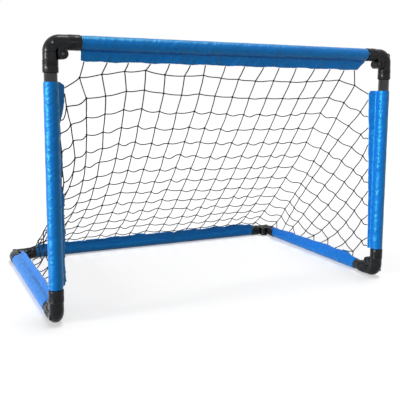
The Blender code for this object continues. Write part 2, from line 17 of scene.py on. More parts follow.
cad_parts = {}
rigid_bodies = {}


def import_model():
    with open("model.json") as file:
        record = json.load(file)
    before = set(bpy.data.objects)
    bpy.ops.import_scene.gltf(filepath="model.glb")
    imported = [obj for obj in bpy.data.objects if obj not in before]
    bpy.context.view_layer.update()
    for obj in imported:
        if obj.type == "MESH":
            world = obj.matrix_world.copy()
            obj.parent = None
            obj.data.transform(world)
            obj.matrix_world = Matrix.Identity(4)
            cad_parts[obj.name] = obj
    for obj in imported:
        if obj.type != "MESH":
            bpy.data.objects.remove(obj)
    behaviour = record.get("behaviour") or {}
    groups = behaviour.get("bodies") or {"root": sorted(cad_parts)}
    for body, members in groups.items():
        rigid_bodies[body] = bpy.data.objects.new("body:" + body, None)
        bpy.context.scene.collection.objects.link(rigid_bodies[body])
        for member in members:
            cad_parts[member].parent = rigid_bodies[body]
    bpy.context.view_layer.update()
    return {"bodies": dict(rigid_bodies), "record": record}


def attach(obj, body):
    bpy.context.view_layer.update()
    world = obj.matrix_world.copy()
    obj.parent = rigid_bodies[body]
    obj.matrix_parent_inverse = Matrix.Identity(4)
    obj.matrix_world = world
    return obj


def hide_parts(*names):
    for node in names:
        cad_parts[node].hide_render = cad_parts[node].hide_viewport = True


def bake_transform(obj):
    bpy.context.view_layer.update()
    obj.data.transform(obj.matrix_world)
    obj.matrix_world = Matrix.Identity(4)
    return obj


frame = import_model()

print("bodies:", ", ".join(frame["bodies"]))

# %% [markdown]
# ## Sizes that everything shares
#
# The frame is measured between the axes of its tubes. All the sizes below repeat those of the frame, because a
# visible piece has to sit on the solid that it stands for.

# %% Sizes
MM = 0.001
LEFT, RIGHT = -440 * MM, 440 * MM
FRONT, REAR = -294 * MM, 294 * MM
LOW, HIGH = 16.75 * MM, 604.75 * MM
TUBE_RADIUS, TUBE_WALL = 14 * MM, 1.2 * MM
SOCKET_SEAT = 37 * MM
AXIS_X, AXIS_Y, AXIS_Z = Vector((1, 0, 0)), Vector((0, 1, 0)), Vector((0, 0, 1))
scene = bpy.context.scene


def linked(name, data):
    """A new object with this data, linked to the scene."""
    made = bpy.data.objects.new(name, data)
    scene.collection.objects.link(made)
    return made


print("goal, axis to axis:", round(RIGHT - LEFT, 3), "wide,", round(HIGH - LOW, 3), "high")

# %% [markdown]
# ## Camera
#
# The photograph looks at the goal from the front left, from a little below the crossbar. The camera's place,
# turn and lens were fitted to the six corners of the frame, so they are plain values here.

# %% Camera
CAMERA_PLACE = Vector((-0.7166, -1.6175, 0.50485))
YAW, PITCH, ROLL = math.radians(25.89), math.radians(7.644), math.radians(0.434)
LENS = {"lens": 56.57, "sensor_width": 36, "shift_x": -0.02375, "shift_y": -0.05875, "clip_end": 60}

ahead = Vector((math.sin(YAW) * math.cos(PITCH), math.cos(YAW) * math.cos(PITCH), -math.sin(PITCH)))
level = Vector((math.cos(YAW), -math.sin(YAW), 0))
upright = level.cross(ahead)
right = level * math.cos(ROLL) + upright * math.sin(ROLL)
up = upright * math.cos(ROLL) - level * math.sin(ROLL)
lens = bpy.data.cameras.new("photo_camera")
for name, value in LENS.items():
    setattr(lens, name, value)
scene.camera = linked("photo_camera", lens)
scene.camera.matrix_world = Matrix.Translation(CAMERA_PLACE) @ Matrix((right, up, -ahead)).transposed().to_4x4()
scene.view_settings.view_transform = "Standard"
print("camera", round((CAMERA_PLACE - Vector((0, FRONT, HIGH / 2))).length, 2), "m from the goal's mouth")

# %% [markdown]
# ## Floor, background and light
#
# The goal stands on white paper with hardly any shadow. The floor is a wide pale sheet whose own small glow
# lifts it to white where nothing shades it, so the soft contact shadows stay. The sky is white to the camera and
# in reflections, and dimmer as a light, so that the blue cloth keeps its dark side. One broad lamp stands low on
# the left and a second one above. A narrower one at the front left gives the highlights, and a weak one fills.

# %% Node helpers
SEEN_RAYS = ("Is Camera Ray", "Is Glossy Ray", "Is Transmission Ray")
WHITE = (1, 1, 1, 1)


def add_node(tree, kind, feeds=None, **settings):
    """A node with its settings. Each feed is a value, a socket, or a node whose first output is meant."""
    made = tree.nodes.new(kind)
    for name, value in settings.items():
        setattr(made, name, value)
    for name, value in (feeds or {}).items():
        if isinstance(value, bpy.types.Node):
            value = value.outputs[0]
        if isinstance(value, bpy.types.NodeSocket):
            tree.links.new(value, made.inputs[name])
        else:
            made.inputs[name].default_value = value
    return made


def maths(tree, operation, *values):
    """The result of a Math node."""
    return add_node(tree, "ShaderNodeMath", dict(enumerate(values)), operation=operation).outputs[0]


def between(tree, mask, low, high):
    """A number between two, by a mask."""
    return add_node(tree, "ShaderNodeMapRange", {"Value": mask, "To Min": low, "To Max": high}).outputs[0]


def two_tone(tree, mask, *tones):
    """A colour between two, by a mask. Each is three values or a socket."""
    feeds = {6 + place: (*tone, 1) if isinstance(tone, tuple) else tone for place, tone in enumerate(tones)}
    return add_node(tree, "ShaderNodeMix", {0: mask, **feeds}, data_type="RGBA").outputs[2]


def any_ray(tree, first, *others):
    """A mask that is 1 for the kinds of ray named."""
    rays = add_node(tree, "ShaderNodeLightPath").outputs
    mask = rays[first]
    for kind in others:
        mask = maths(tree, "MAXIMUM", mask, rays[kind])
    return mask


def bare_tree(owner):
    """The emptied node tree of a world or a material."""
    owner.use_nodes = True
    owner.node_tree.nodes.clear()
    return owner.node_tree


# %% Sky
SKY_LIGHT = 0.15
scene.world = bpy.data.worlds.new("white_studio")
sky = bare_tree(scene.world)
strength = between(sky, any_ray(sky, *SEEN_RAYS), SKY_LIGHT, 1.0)
white = add_node(sky, "ShaderNodeBackground", {"Color": WHITE, "Strength": strength})
add_node(sky, "ShaderNodeOutputWorld", {"Surface": white})
print("sky lights at", SKY_LIGHT, "and shows white")

# %% Floor
FLOOR_HALF, FLOOR_GLOW = 14.0, 0.45
FLOOR_SEEN, FLOOR_BOUNCE = (0.79, 0.79, 0.795), (0.10, 0.10, 0.11)
floor_mesh = bpy.data.meshes.new("paper_floor")
corners = [(x * FLOOR_HALF, y * FLOOR_HALF, 0) for x, y in ((-1, -1), (1, -1), (1, 1), (-1, 1))]
floor_mesh.from_pydata(corners, [], [(0, 1, 2, 3)])
paper = bpy.data.materials.new("white_paper")
tree = bare_tree(paper)
shade = two_tone(tree, any_ray(tree, "Is Diffuse Ray"), FLOOR_SEEN, FLOOR_BOUNCE)
matt = add_node(tree, "ShaderNodeBsdfDiffuse", {"Color": shade})
glow_strength = maths(tree, "MULTIPLY", any_ray(tree, *SEEN_RAYS), FLOOR_GLOW)
glow = add_node(tree, "ShaderNodeEmission", {"Color": WHITE, "Strength": glow_strength})
both = add_node(tree, "ShaderNodeAddShader", {0: matt, 1: glow})
add_node(tree, "ShaderNodeOutputMaterial", {"Surface": both})
floor_mesh.materials.append(paper)
linked("paper_floor", floor_mesh)
print("floor", 2 * FLOOR_HALF, "m across")

# %% Lamps
# Lamp: the way to it, its power and its spread in degrees
LAMPS = {
    "key_lamp": ((-0.96, -0.08, 0.12), 2.9, 16),
    "top_lamp": ((0.15, 0.00, 0.95), 1.6, 24),
    "side_lamp": ((-0.92, -0.42, 0.04), 0.9, 13),
    "front_lamp": ((0.25, -0.90, 0.00), 0.3, 60),
}
for name, (way, power, spread) in LAMPS.items():
    light = bpy.data.lights.new(name, "SUN")
    light.energy, light.angle = power, math.radians(spread)
    lamp = linked(name, light)
    lamp.rotation_mode = "QUATERNION"
    lamp.rotation_quaternion = Vector(way).to_track_quat("Z", "Y")
    print(name, "at", power)

# %% [markdown]
# ## Finishes
#
# Seven finishes cover the goal: painted tube, moulded plastic, dark zinc, the grey button with its painted highlight,
# satin cloth, thread and twisted twine. What several of them need is built once as a shader group: a fine grain,
# soft clouds of wear or fading, a woven cross of yarns, slanting creases, and the twist of a thread. Each group
# puts out only masks and heights, and the material places them with its own values.

# %% Group helpers
SOCKET_KINDS = {float: "Float", int: "Int", tuple: "Vector"}


def new_tree(kind, name, takes, gives):
    """A tree with its incoming and outgoing sockets. Each is named with its default or its kind of socket."""
    tree = bpy.data.node_groups.new(name, kind)
    for way, sockets in (("INPUT", takes), ("OUTPUT", gives)):
        for socket_name, value in sockets.items():
            socket_kind = value if isinstance(value, str) else SOCKET_KINDS[type(value)]
            made = tree.interface.new_socket(socket_name, in_out=way, socket_type="NodeSocket" + socket_kind)
            if socket_kind != value:
                made.default_value = value
    return tree, tree.nodes.new("NodeGroupInput").outputs, tree.nodes.new("NodeGroupOutput").inputs


def shader_group(name, *gives, **sizes):
    """A shader group that takes a place and sizes."""
    takes = {"Place": (0.0, 0.0, 0.0), **sizes}
    return new_tree("ShaderNodeTree", name, takes, dict.fromkeys(gives, "Float"))


def noise(tree, place, scale, detail, roughness=0.5):
    """A noise at a place."""
    feeds = {"Vector": place, "Scale": scale, "Detail": detail, "Roughness": roughness}
    return add_node(tree, "ShaderNodeTexNoise", feeds).outputs["Fac"]


def parts_of(tree, place):
    """The sockets of a place's three coordinates."""
    return add_node(tree, "ShaderNodeSeparateXYZ", {"Vector": place}).outputs


# %% Grain and cloud groups
GRAIN, given, out = shader_group("fine_grain", "Height", Pitch=0.001)
speckle = noise(GRAIN, given["Place"], maths(GRAIN, "DIVIDE", 1.0, given["Pitch"]), 3.0, 0.6)
GRAIN.links.new(speckle, out["Height"])

CLOUDS, given, out = shader_group("soft_clouds", "Mask", Width=0.05, From=0.35, To=0.7)
drift = noise(CLOUDS, given["Place"], maths(CLOUDS, "DIVIDE", 1.0, given["Width"]), 4.0, 0.55)
edges = {"Value": drift, "From Min": given["From"], "From Max": given["To"]}
part = add_node(CLOUDS, "ShaderNodeMapRange", edges, interpolation_type="SMOOTHSTEP")
CLOUDS.links.new(part.outputs[0], out["Mask"])

# %% Weave group
WEAVE, given, out = shader_group("yarn_weave", "Height", "Over", Yarn=0.0007)
spot = parts_of(WEAVE, given["Place"])
turns = maths(WEAVE, "DIVIDE", math.pi, given["Yarn"])
warp, weft = (maths(WEAVE, "SINE", maths(WEAVE, "MULTIPLY", spot[axis], turns)) for axis in "XY")
over = maths(WEAVE, "MULTIPLY", warp, weft)
WEAVE.links.new(maths(WEAVE, "ABSOLUTE", over), out["Height"])
WEAVE.links.new(maths(WEAVE, "MULTIPLY_ADD", over, 0.5, 0.5), out["Over"])

# %% Crease group
CREASES, given, out = shader_group("slanting_creases", "Height", Width=0.01, Length=0.05, Slant=0.6)
ridges = []
for way in (1.0, -1.0):
    feeds = {"Vector": given["Place"], "Angle": maths(CREASES, "MULTIPLY", given["Slant"], way)}
    spot = parts_of(CREASES, add_node(CREASES, "ShaderNodeVectorRotate", feeds, rotation_type="Z_AXIS"))
    down = maths(CREASES, "DIVIDE", spot["X"], given["Length"])
    beside = maths(CREASES, "DIVIDE", spot["Y"], given["Width"])
    fitted = add_node(CREASES, "ShaderNodeCombineXYZ", {"X": down, "Y": beside, "Z": way})
    tent = maths(CREASES, "ABSOLUTE", maths(CREASES, "MULTIPLY_ADD", noise(CREASES, fitted, 1.0, 2.0), 2.0, -1.0))
    ridges.append(maths(CREASES, "SUBTRACT", 1.0, maths(CREASES, "POWER", tent, 0.7)))
CREASES.links.new(maths(CREASES, "ADD", *ridges), out["Height"])

# %% Twist group
TWIST, given, out = shader_group("thread_twist", "Height", Lay=0.004, Plies=3.0)
spot = parts_of(TWIST, given["Place"])
around = maths(TWIST, "MULTIPLY", spot["X"], given["Plies"])
along = maths(TWIST, "DIVIDE", spot["Y"], given["Lay"])
phase = maths(TWIST, "MULTIPLY", maths(TWIST, "ADD", around, along), 2 * math.pi)
TWIST.links.new(maths(TWIST, "MULTIPLY_ADD", maths(TWIST, "SINE", phase), 0.5, 0.5), out["Height"])
print("groups:", ", ".join(group.name for group in (GRAIN, CLOUDS, WEAVE, CREASES, TWIST)))


def new_finish(name, slot=None, **values):
    """A material, its tree and its shader, with plain values set on the shader's own sockets. The slot is not used."""
    made = bpy.data.materials.new(name)
    made.use_nodes = True
    shader = made.node_tree.nodes["Principled BSDF"]
    for socket_name, value in values.items():
        shader.inputs[socket_name.replace("_", " ")].default_value = value
    return made, made.node_tree, shader


def effect(tree, group, place=None, **sizes):
    """A group in a material, on the piece's own coordinates unless a place is given."""
    place = place or add_node(tree, "ShaderNodeTexCoord").outputs["Object"]
    return add_node(tree, "ShaderNodeGroup", {"Place": place, **sizes}, node_tree=group)


def cloth_uv(tree):
    """The place on the piece's own UV map."""
    return add_node(tree, "ShaderNodeUVMap", uv_map="UVMap").outputs["UV"]


def paint(tree, shader, mask, tones, gloss=None):
    """Two tones, and two roughnesses where given, by a mask."""
    tree.links.new(two_tone(tree, mask, *tones), shader.inputs["Base Color"])
    if gloss:
        tree.links.new(between(tree, mask, *gloss), shader.inputs["Roughness"])


def raise_by(tree, shader, height, depth):
    """A bump of a height map on the shader, its depth in metres."""
    bump = add_node(tree, "ShaderNodeBump", {"Height": height, "Distance": depth, "Strength": 1.0})
    tree.links.new(bump.outputs[0], shader.inputs["Normal"])


# %% [markdown]
# ### Painted tube and moulded plastic
#
# The tubes are black and glossy with a faint ripple, as dipped or powder-painted steel is. The knuckles are
# a moulded black plastic that is rougher, with a very fine spark-eroded grain and paler rubbed patches.

# %% Paint and plastic
COAT = {"Coat_Weight": 0.25, "Coat_Roughness": 0.08}
TUBE_PAINT, tree, shader = new_finish("tube_black_paint", Specular_IOR_Level=0.40, **COAT)
rubbed = effect(tree, CLOUDS, Width=0.012, From=0.5, To=0.75)
paint(tree, shader, rubbed, ((0.010, 0.010, 0.012), (0.020, 0.020, 0.023)), (0.16, 0.30))
raise_by(tree, shader, effect(tree, GRAIN, Pitch=0.0016), 0.00003)

PLASTIC, tree, shader = new_finish("knuckle_black_plastic", Specular_IOR_Level=0.20)
rubbed = effect(tree, CLOUDS, Width=0.016, From=0.48, To=0.78)
paint(tree, shader, rubbed, ((0.007, 0.008, 0.010), (0.014, 0.0155, 0.020)), (0.24, 0.36))
raise_by(tree, shader, effect(tree, GRAIN, Pitch=0.0007), 0.00004)
print("paint and plastic made")

# %% [markdown]
# ### Bolts and buttons
#
# The bolt's head is dark zinc. The button is one moulding in dark grey, with a painted highlight on the middle of
# its domed face, so its mesh carries a mask on those faces, and the material reads that mask.

# %% Bolt and button
BOLT_ZINC, tree, shader = new_finish("bolt_steel", Metallic=1.0)
dull = effect(tree, CLOUDS, Width=0.003, From=0.4, To=0.7)
paint(tree, shader, dull, ((0.07, 0.07, 0.075), (0.03, 0.03, 0.034)), (0.28, 0.45))

BUTTON_WITH_GLINT, tree, shader = new_finish("button_grey", Specular_IOR_Level=0.45)
glint_mask = add_node(tree, "ShaderNodeAttribute", attribute_name="painted_glint").outputs["Fac"]
grain = effect(tree, GRAIN, Pitch=0.0006)
# The pale grey on the masked middle is a painted highlight for the shine of the domed face.
paint(tree, shader, glint_mask, ((0.018, 0.018, 0.020), (0.50, 0.51, 0.52)))
tree.links.new(between(tree, grain, 0.30, 0.40), shader.inputs["Roughness"])
raise_by(tree, shader, grain, 0.00003)
print("bolt and button made")

# %% [markdown]
# ### Sleeve cloth and thread
#
# The sleeves are a satin-faced blue polyester. Their pattern follows the cloth, so it reads the piece's own UV
# map, which is in metres. Where the folds rub, the colour is a little paler. The thread of the hems is a
# deeper blue.

# %% Sleeve cloth
CREASE_DEPTH, CRUMPLE_DEPTH, WEAVE_DEPTH = 0.0012, 0.0002, 0.00003
CREASE_SIZES = {"Width": 0.017, "Length": 0.09, "Slant": math.radians(38)}
SATIN = {"Specular_IOR_Level": 1.0, "Specular_Tint": (0.16, 1.0, 0.62, 1)}
SHEEN = {"Sheen_Weight": 0.1, "Sheen_Roughness": 0.4, "Sheen_Tint": (0.3, 1.0, 0.9, 1)}
CLOTH, tree, shader = new_finish("sleeve_blue_cloth", **SATIN, **SHEEN)
faded = effect(tree, CLOUDS, Width=0.035, From=0.35, To=0.75)
weave = effect(tree, WEAVE, cloth_uv(tree), Yarn=0.0006).outputs
dyed = two_tone(tree, faded, (0.001, 0.150, 0.68), (0.002, 0.170, 0.74))
paint(tree, shader, between(tree, weave["Over"], 0.0, 0.22), (dyed, (0.001, 0.10, 0.50)))
tree.links.new(between(tree, faded, 0.38, 0.43), shader.inputs["Roughness"])
creases = effect(tree, CREASES, cloth_uv(tree), **CREASE_SIZES)
crumple = maths(tree, "MULTIPLY", effect(tree, GRAIN, Pitch=0.016), CRUMPLE_DEPTH)
folds = maths(tree, "MULTIPLY_ADD", creases, CREASE_DEPTH, crumple)
raise_by(tree, shader, maths(tree, "MULTIPLY_ADD", weave["Height"], WEAVE_DEPTH, folds), 1.0)

THREAD, tree, shader = new_finish("hem_thread", "sleeve_blue_cloth", Roughness=0.55, Sheen_Weight=0.2)
lint = effect(tree, GRAIN, Pitch=0.0003)
paint(tree, shader, lint, ((0.010, 0.13, 0.45), (0.03, 0.26, 0.66)))
raise_by(tree, shader, lint, 0.00005)
print("cloth and thread made")

# %% [markdown]
# ### Net twine
#
# The net is a soft black twine of three plies. Each strand has a UV map that runs round and along it, so the
# twist follows the strand through all its bends. The knots have no such map and use the plain grain.

# %% Twine
TWINE, tree, shader = new_finish("net_black_twine", Roughness=0.8, Specular_IOR_Level=0.15, Sheen_Weight=0.04)
plies = effect(tree, TWIST, cloth_uv(tree), Lay=0.006, Plies=3.0)
fluff = effect(tree, GRAIN, Pitch=0.0008)
paint(tree, shader, fluff, ((0.003, 0.003, 0.004), (0.010, 0.010, 0.011)))
raise_by(tree, shader, maths(tree, "ADD", plies, maths(tree, "MULTIPLY", fluff, 0.4)), 0.0003)
print("twine made")

# %% [markdown]
# ## Mesh helpers
#
# Most hard pieces here are rings of points joined into a skin, with others cut away by exact Booleans. A thin
# bevel on the sharp edges then catches the light, as moulded and turned edges do.

# %% Mesh helpers
ROUND = 48


def applied(mesh, *steps):
    """The plain mesh left when modifiers, given as (kind, settings), have worked on a mesh."""
    holder = linked("holder", mesh)
    for kind, settings in steps:
        step = holder.modifiers.new(kind, kind)
        for name, value in settings.items():
            if hasattr(step, name):
                setattr(step, name, value)
            else:
                step[name] = value
    bpy.context.view_layer.update()
    made = bpy.data.meshes.new_from_object(holder.evaluated_get(bpy.context.evaluated_depsgraph_get()))
    bpy.data.objects.remove(holder)
    return made


def smoothed(mesh, sharp_from):
    """The mesh shaded smooth, but sharp where it turns by more than an angle in degrees."""
    mesh.shade_smooth()
    mesh.set_sharp_from_angle(angle=math.radians(sharp_from))
    return mesh


def closed_mesh(bm):
    """The mesh of a bmesh with its doubles merged and its faces outwards."""
    bmesh.ops.remove_doubles(bm, verts=bm.verts, dist=1e-6)
    bmesh.ops.recalc_face_normals(bm, faces=bm.faces)
    mesh = bpy.data.meshes.new("shape")
    bm.to_mesh(mesh)
    bm.free()
    return mesh


def joined_rings(bm, rings):
    """The skin through rings of points. A single point is a pole; open ends are joined to each other."""
    pairs = list(zip(rings, rings[1:]))
    if len(rings[0]) > 1 and len(rings[-1]) > 1:
        pairs.append((rings[-1], rings[0]))
    for low, high in pairs:
        for step in range(max(len(low), len(high))):
            spots = ((low, step), (low, step + 1), (high, step + 1), (high, step))
            bm.faces.new(list(dict.fromkeys(ring[spot % len(ring)] for ring, spot in spots)))
    return closed_mesh(bm)


def ring_skin(rings, sides=ROUND):
    """A skin through rings given as (matrix, radius), where a radius of 0 is a pole."""
    bm = bmesh.new()
    angles = [2 * math.pi * (step + 0.5) / sides for step in range(sides)]
    made = []
    for place, radius in rings:
        points = [(radius * math.cos(a), radius * math.sin(a), 0) for a in angles] if radius else [(0, 0, 0)]
        made.append([bm.verts.new(place @ Vector(point)) for point in points])
    return joined_rings(bm, made)


def lathe(profile, direction, start=Vector(), sides=ROUND):
    """A turned piece from (station, radius) pairs along a direction."""
    place = Matrix.Translation(start) @ Vector(direction).to_track_quat("Z", "Y").to_matrix().to_4x4()
    return ring_skin([(place @ Matrix.Translation((0, 0, s)), r) for s, r in profile], sides)


def drum(low, high, radius, sides=ROUND):
    """A plain round cutter about the knuckle's pin."""
    return lathe([(low, 0), (low, radius), (high, radius), (high, 0)], AXIS_Y, PIN, sides)


def carved(body, joined=(), common=(), cut=()):
    """A mesh with others joined on, then kept only inside others, and then others cut out."""
    tools, steps = [], []
    for operation, meshes in (("UNION", joined), ("INTERSECT", common), ("DIFFERENCE", cut)):
        for mesh in meshes:
            tools.append(linked("carve_tool", mesh))
            steps.append(("BOOLEAN", {"operation": operation, "solver": "EXACT", "object": tools[-1]}))
    made = applied(body, *steps)
    for tool in tools:
        bpy.data.objects.remove(tool)
    return made


def softened(mesh, width=0):
    """A mesh with its sharp edges rounded, shaded smooth but for what is still sharp."""
    bevel = {"width": width, "segments": 2, "limit_method": "ANGLE", "angle_limit": math.radians(32)}
    return smoothed(applied(mesh, *([("BEVEL", {**bevel, "use_clamp_overlap": True})] if width else [])), 50)


BODY_OF = {node: body for body, nodes in frame["record"]["behaviour"]["bodies"].items() for node in nodes}


def add_piece(name, mesh, finish, body=None, stands_for=(), place=None):
    """Puts a mesh into the scene as one piece, with its finish, its body and the nodes it stands for."""
    if place is not None:
        mesh = mesh.copy()
        mesh.transform(place)
        if place.determinant() < 0:
            mesh.flip_normals()
    mesh.name = name
    mesh.materials.clear()
    mesh.materials.append(finish)
    piece = linked(name, mesh)
    if body:
        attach(piece, body)
    if stands_for:
        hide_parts(*stands_for)
    return piece


# %% [markdown]
# ## Corner knuckles
#
# Each corner is a folding knuckle of two mouldings that part at a seam. The bend carries the curve, two outer
# ears and a round boss with a button in it; the socket carries the straight arm and the middle ear. Both end
# in a ribbed collar that grips the tube. The knuckle is made once, about the point where its arms' axes meet:
# arm A runs along +X, arm B along -Z, and the pin runs along Y in the inner corner.

# %% Collar
BODY_RADIUS, BEND_RADIUS = 15.75 * MM, 20 * MM
SEAM_GAP, SEAM_EDGE, SEAM_RISE = 0.4 * MM, 0.35 * MM, 4 * MM
PIN = Vector((24 * MM, 0, -24 * MM))
LUG_RADIUS, LUG_HALF, LUG_STEPS = 11.5 * MM, 14 * MM, 36
MIDDLE_HALF, EAR_GAP = 4.5 * MM, 0.4 * MM
HOLE_RADIUS, CLEAR_RADIUS = 3.3 * MM, 12 * MM


def mm(*pairs, at=0):
    """(Station, radius) pairs given in millimetres, their stations counted from a place in metres."""
    return [(at + station * MM, radius * MM) for station, radius in pairs]


# Over an arm's bead, its ribs and its mouth, and down the bore
BEAD = mm((35.6, 15.75), (36.1, 16.2), (36.9, 16.62), (38.0, 16.62), (38.7, 16.2))
RIB_STARTS = (39.9, 43.1, 46.3)
RIB = ((-0.5, 15.95), (0, 16.6), (0.5, 16.75), (1.2, 16.75), (1.7, 16.6), (2.2, 15.95))
RIBS = mm(*((start + station, radius) for start in RIB_STARTS for station, radius in RIB))
MOUTH = mm((49.4, 15.95), (50.0, 16.5), (50.8, 16.6), (61.6, 16.6), (62.6, 16.25), (63.0, 15.6), (63.0, 14.9))
COLLAR = BEAD + RIBS + MOUTH + mm((62.4, 14.3), (37, 14.3), (37, 0))
print("collar with", len(RIB_STARTS), "ribs,", round(2 * max(r for _, r in COLLAR) / MM, 1), "mm across")


# %% Ears
def lug_plate(outline, half, chamfer):
    """An outline of (x, z) points as a plate on both sides of the middle plane, with its rims chamfered."""
    bm = bmesh.new()
    near, far = ([bm.verts.new((x, y, z)) for x, z in outline] for y in (-half, half))
    faces = [bm.faces.new(near), bm.faces.new(far)]
    for step in range(len(outline)):
        after = (step + 1) % len(outline)
        bm.faces.new((near[step], near[after], far[after], far[step]))
    bmesh.ops.recalc_face_normals(bm, faces=bm.faces)
    rims = list({edge for face in faces for edge in face.edges})
    if chamfer:
        bmesh.ops.bevel(bm, geom=rims, offset=chamfer, segments=2, profile=0.6, affect="EDGES", clamp_overlap=True)
    return closed_mesh(bm)


def lug_arc(start, end):
    """(x, z) points round the lug from one angle to another, in degrees."""
    angles = [math.radians(start + (end - start) * step / LUG_STEPS) for step in range(LUG_STEPS + 1)]
    return [(PIN.x + LUG_RADIUS * math.cos(a), PIN.z + LUG_RADIUS * math.sin(a)) for a in angles]


def seam_angle(rise):
    """The angle, in degrees, at which the lug's round reaches a height over the pin."""
    return 180 - math.degrees(math.asin(rise / LUG_RADIUS))


# %% Bend
BOSS_SPOT = Vector((2 * MM, 0, -2 * MM))
BOSS_OFF_LINE = math.hypot(18 * MM, 18 * MM) - BEND_RADIUS
BOSS_SEAT = math.sqrt(BODY_RADIUS**2 - BOSS_OFF_LINE**2)
BOSS_FACE = BOSS_SEAT + 1.5 * MM
COUNTERBORE, COUNTERBORE_RADIUS = 4.2 * MM, 5.1 * MM
EAR_TOP_ANGLE, EAR_ROOT = 52, -5 * MM


def bend_place(angle):
    """The ring's frame on the bend's centre line, from the seam at 0 to arm A at a right angle."""
    centre = Vector((BEND_RADIUS - BEND_RADIUS * math.cos(angle), 0, BEND_RADIUS * math.sin(angle) - BEND_RADIUS))
    along = Vector((math.sin(angle), 0, math.cos(angle)))
    outward = Vector((-math.cos(angle), 0, math.sin(angle)))
    return Matrix.Translation(centre) @ Matrix((outward, AXIS_Y, along)).transposed().to_4x4()


def boss_lathe(profile):
    """A turned piece on the boss's axis, from (distance from the middle plane, radius) pairs."""
    return lathe(profile, -AXIS_Y, BOSS_SPOT, 32)


def make_bend():
    """The bend with its collar, outer ears, boss and cavities."""
    seam, straight = bend_place(0), bend_place(math.pi / 2)
    rings = [(seam, 0), (seam, BODY_RADIUS - SEAM_EDGE), (bend_place(0.018), BODY_RADIUS)]
    rings += [(bend_place(math.pi / 2 * step / 16), BODY_RADIUS) for step in range(1, 17)]
    rings += [(straight @ Matrix.Translation((0, 0, s - BEND_RADIUS)), r) for s, r in COLLAR]
    ear = lug_arc(EAR_TOP_ANGLE, seam_angle(SEAM_RISE) - 360)
    ear += [(ear[-1][0], EAR_ROOT), (ear[0][0], EAR_ROOT)]
    boss = mm((0, 0), (0, 6), at=BOSS_SEAT / 2) + mm((-0.5, 6), (-0.12, 5.75), (0, 5.4), (0, 0), at=BOSS_FACE)
    recess, foot = mm((0, 0), (0, 10.8), (11.2, 10.8), (11.2, 0)), Vector((-3 * MM, 0, -BEND_RADIUS - 5 * MM))
    well = mm((5, 0), (5, 4.4), (22, 4.4), (22, 0))
    past = LUG_HALF + COUNTERBORE
    cut = (
        drum(-MIDDLE_HALF - EAR_GAP, MIDDLE_HALF + EAR_GAP, CLEAR_RADIUS),
        drum(-past, past, HOLE_RADIUS, 24),
        drum(-past, -LUG_HALF + COUNTERBORE, COUNTERBORE_RADIUS, 32),
        drum(LUG_HALF - COUNTERBORE, past, COUNTERBORE_RADIUS, 32),
        lathe(recess, AXIS_Z, foot, 32),
        boss_lathe(well),
    )
    return carved(ring_skin(rings), joined=(lug_plate(ear, LUG_HALF, 1.9 * MM), boss_lathe(boss)), cut=cut)


def make_socket():
    """The socket with its collar, middle ear and locating stub."""
    seam, past = BEND_RADIUS + SEAM_GAP, 31 * MM
    profile = [(seam, 0), (seam, BODY_RADIUS - SEAM_EDGE), (seam + SEAM_EDGE, BODY_RADIUS), *COLLAR]
    ear = lug_arc(-90, seam_angle(SEAM_RISE - SEAM_GAP))
    ear += [(BODY_RADIUS / 2, -seam), (BODY_RADIUS / 2, PIN.z - LUG_RADIUS)]
    stub = lathe(mm((0, 0), (0, 9), (9.4, 9), (10, 8.4), (10, 0)), AXIS_Z, Vector((-3 * MM, 0, -seam - 5 * MM)))
    sides = (drum(-past, -MIDDLE_HALF, CLEAR_RADIUS), drum(MIDDLE_HALF, past, CLEAR_RADIUS))
    cut = (*sides, drum(-past, past, HOLE_RADIUS, 24))
    return carved(lathe(profile, -AXIS_Z), joined=(lug_plate(ear, 6 * MM, 0), stub), cut=cut)


BEND = softened(make_bend(), 0.45 * MM)
SOCKET = softened(make_socket(), 0.4 * MM)
print("bend and socket:", len(BEND.polygons), "and", len(SOCKET.polygons), "faces")


# %% Bolt, nut and button
def make_bolt():
    """The pivot bolt: a domed head with a hex recess, and its shank."""
    top = -LUG_HALF + 2.0 * MM
    head = mm((0, 0), (0, 3.4), (0.3, 4.2), (0.8, 4.6), at=top) + mm((3.9, 4.6), (3.9, 3), at=-LUG_HALF)
    shank = mm((-1.7, 3), (-1.2, 2.5), (-1.2, 0), at=LUG_HALF)
    return carved(lathe(head + shank, AXIS_Y, PIN, 32), cut=(drum(top - MM, top + 1.3 * MM, 2.4 * MM, 6),))


def make_nut():
    """The hex nut round the shank's end, its outer corners turned off."""
    low, high = LUG_HALF - 3.9 * MM, LUG_HALF - 1.2 * MM
    turned = mm((-1, 0), (-1, 6), at=low) + mm((-0.8, 5.2), (0.2, 4.0), (0.2, 0), at=high)
    hole = drum(0, 2 * LUG_HALF, HOLE_RADIUS, 24)
    return carved(drum(low, high, 4.65 * MM, 6), common=(lathe(turned, AXIS_Y, PIN, 32),), cut=(hole,))


def make_button():
    """The lock button, with a painted highlight on the middle of its domed face, marked by a mask on its faces."""
    top = BOSS_FACE + 0.5 * MM
    rim = mm((-8, 0), (-8, 4.1), (-0.5, 4.1), (-0.15, 3.8), (0, 3.2), (0, 2.2), at=top)
    made = boss_lathe(rim + mm((-0.3, 1.95), (-0.3, 1.8), (-0.05, 1.5), (0.05, 0.8), (0.08, 0), at=top))
    # The faces of the domed middle get the mask of the painted highlight.
    mask = made.attributes.new("painted_glint", "FLOAT", "FACE")
    for face in made.polygons:
        off_axis = (Vector(face.center) - BOSS_SPOT).xz.length
        mask.data[face.index].value = float(-face.center.y > top - 0.6 * MM and off_axis < 1.85 * MM)
    return made


BOLT, NUT, BUTTON = softened(make_bolt(), 0.12 * MM), softened(make_nut(), 0.12 * MM), softened(make_button())
print("bolt, nut and button:", len(BOLT.polygons), len(NUT.polygons), len(BUTTON.polygons), "faces")

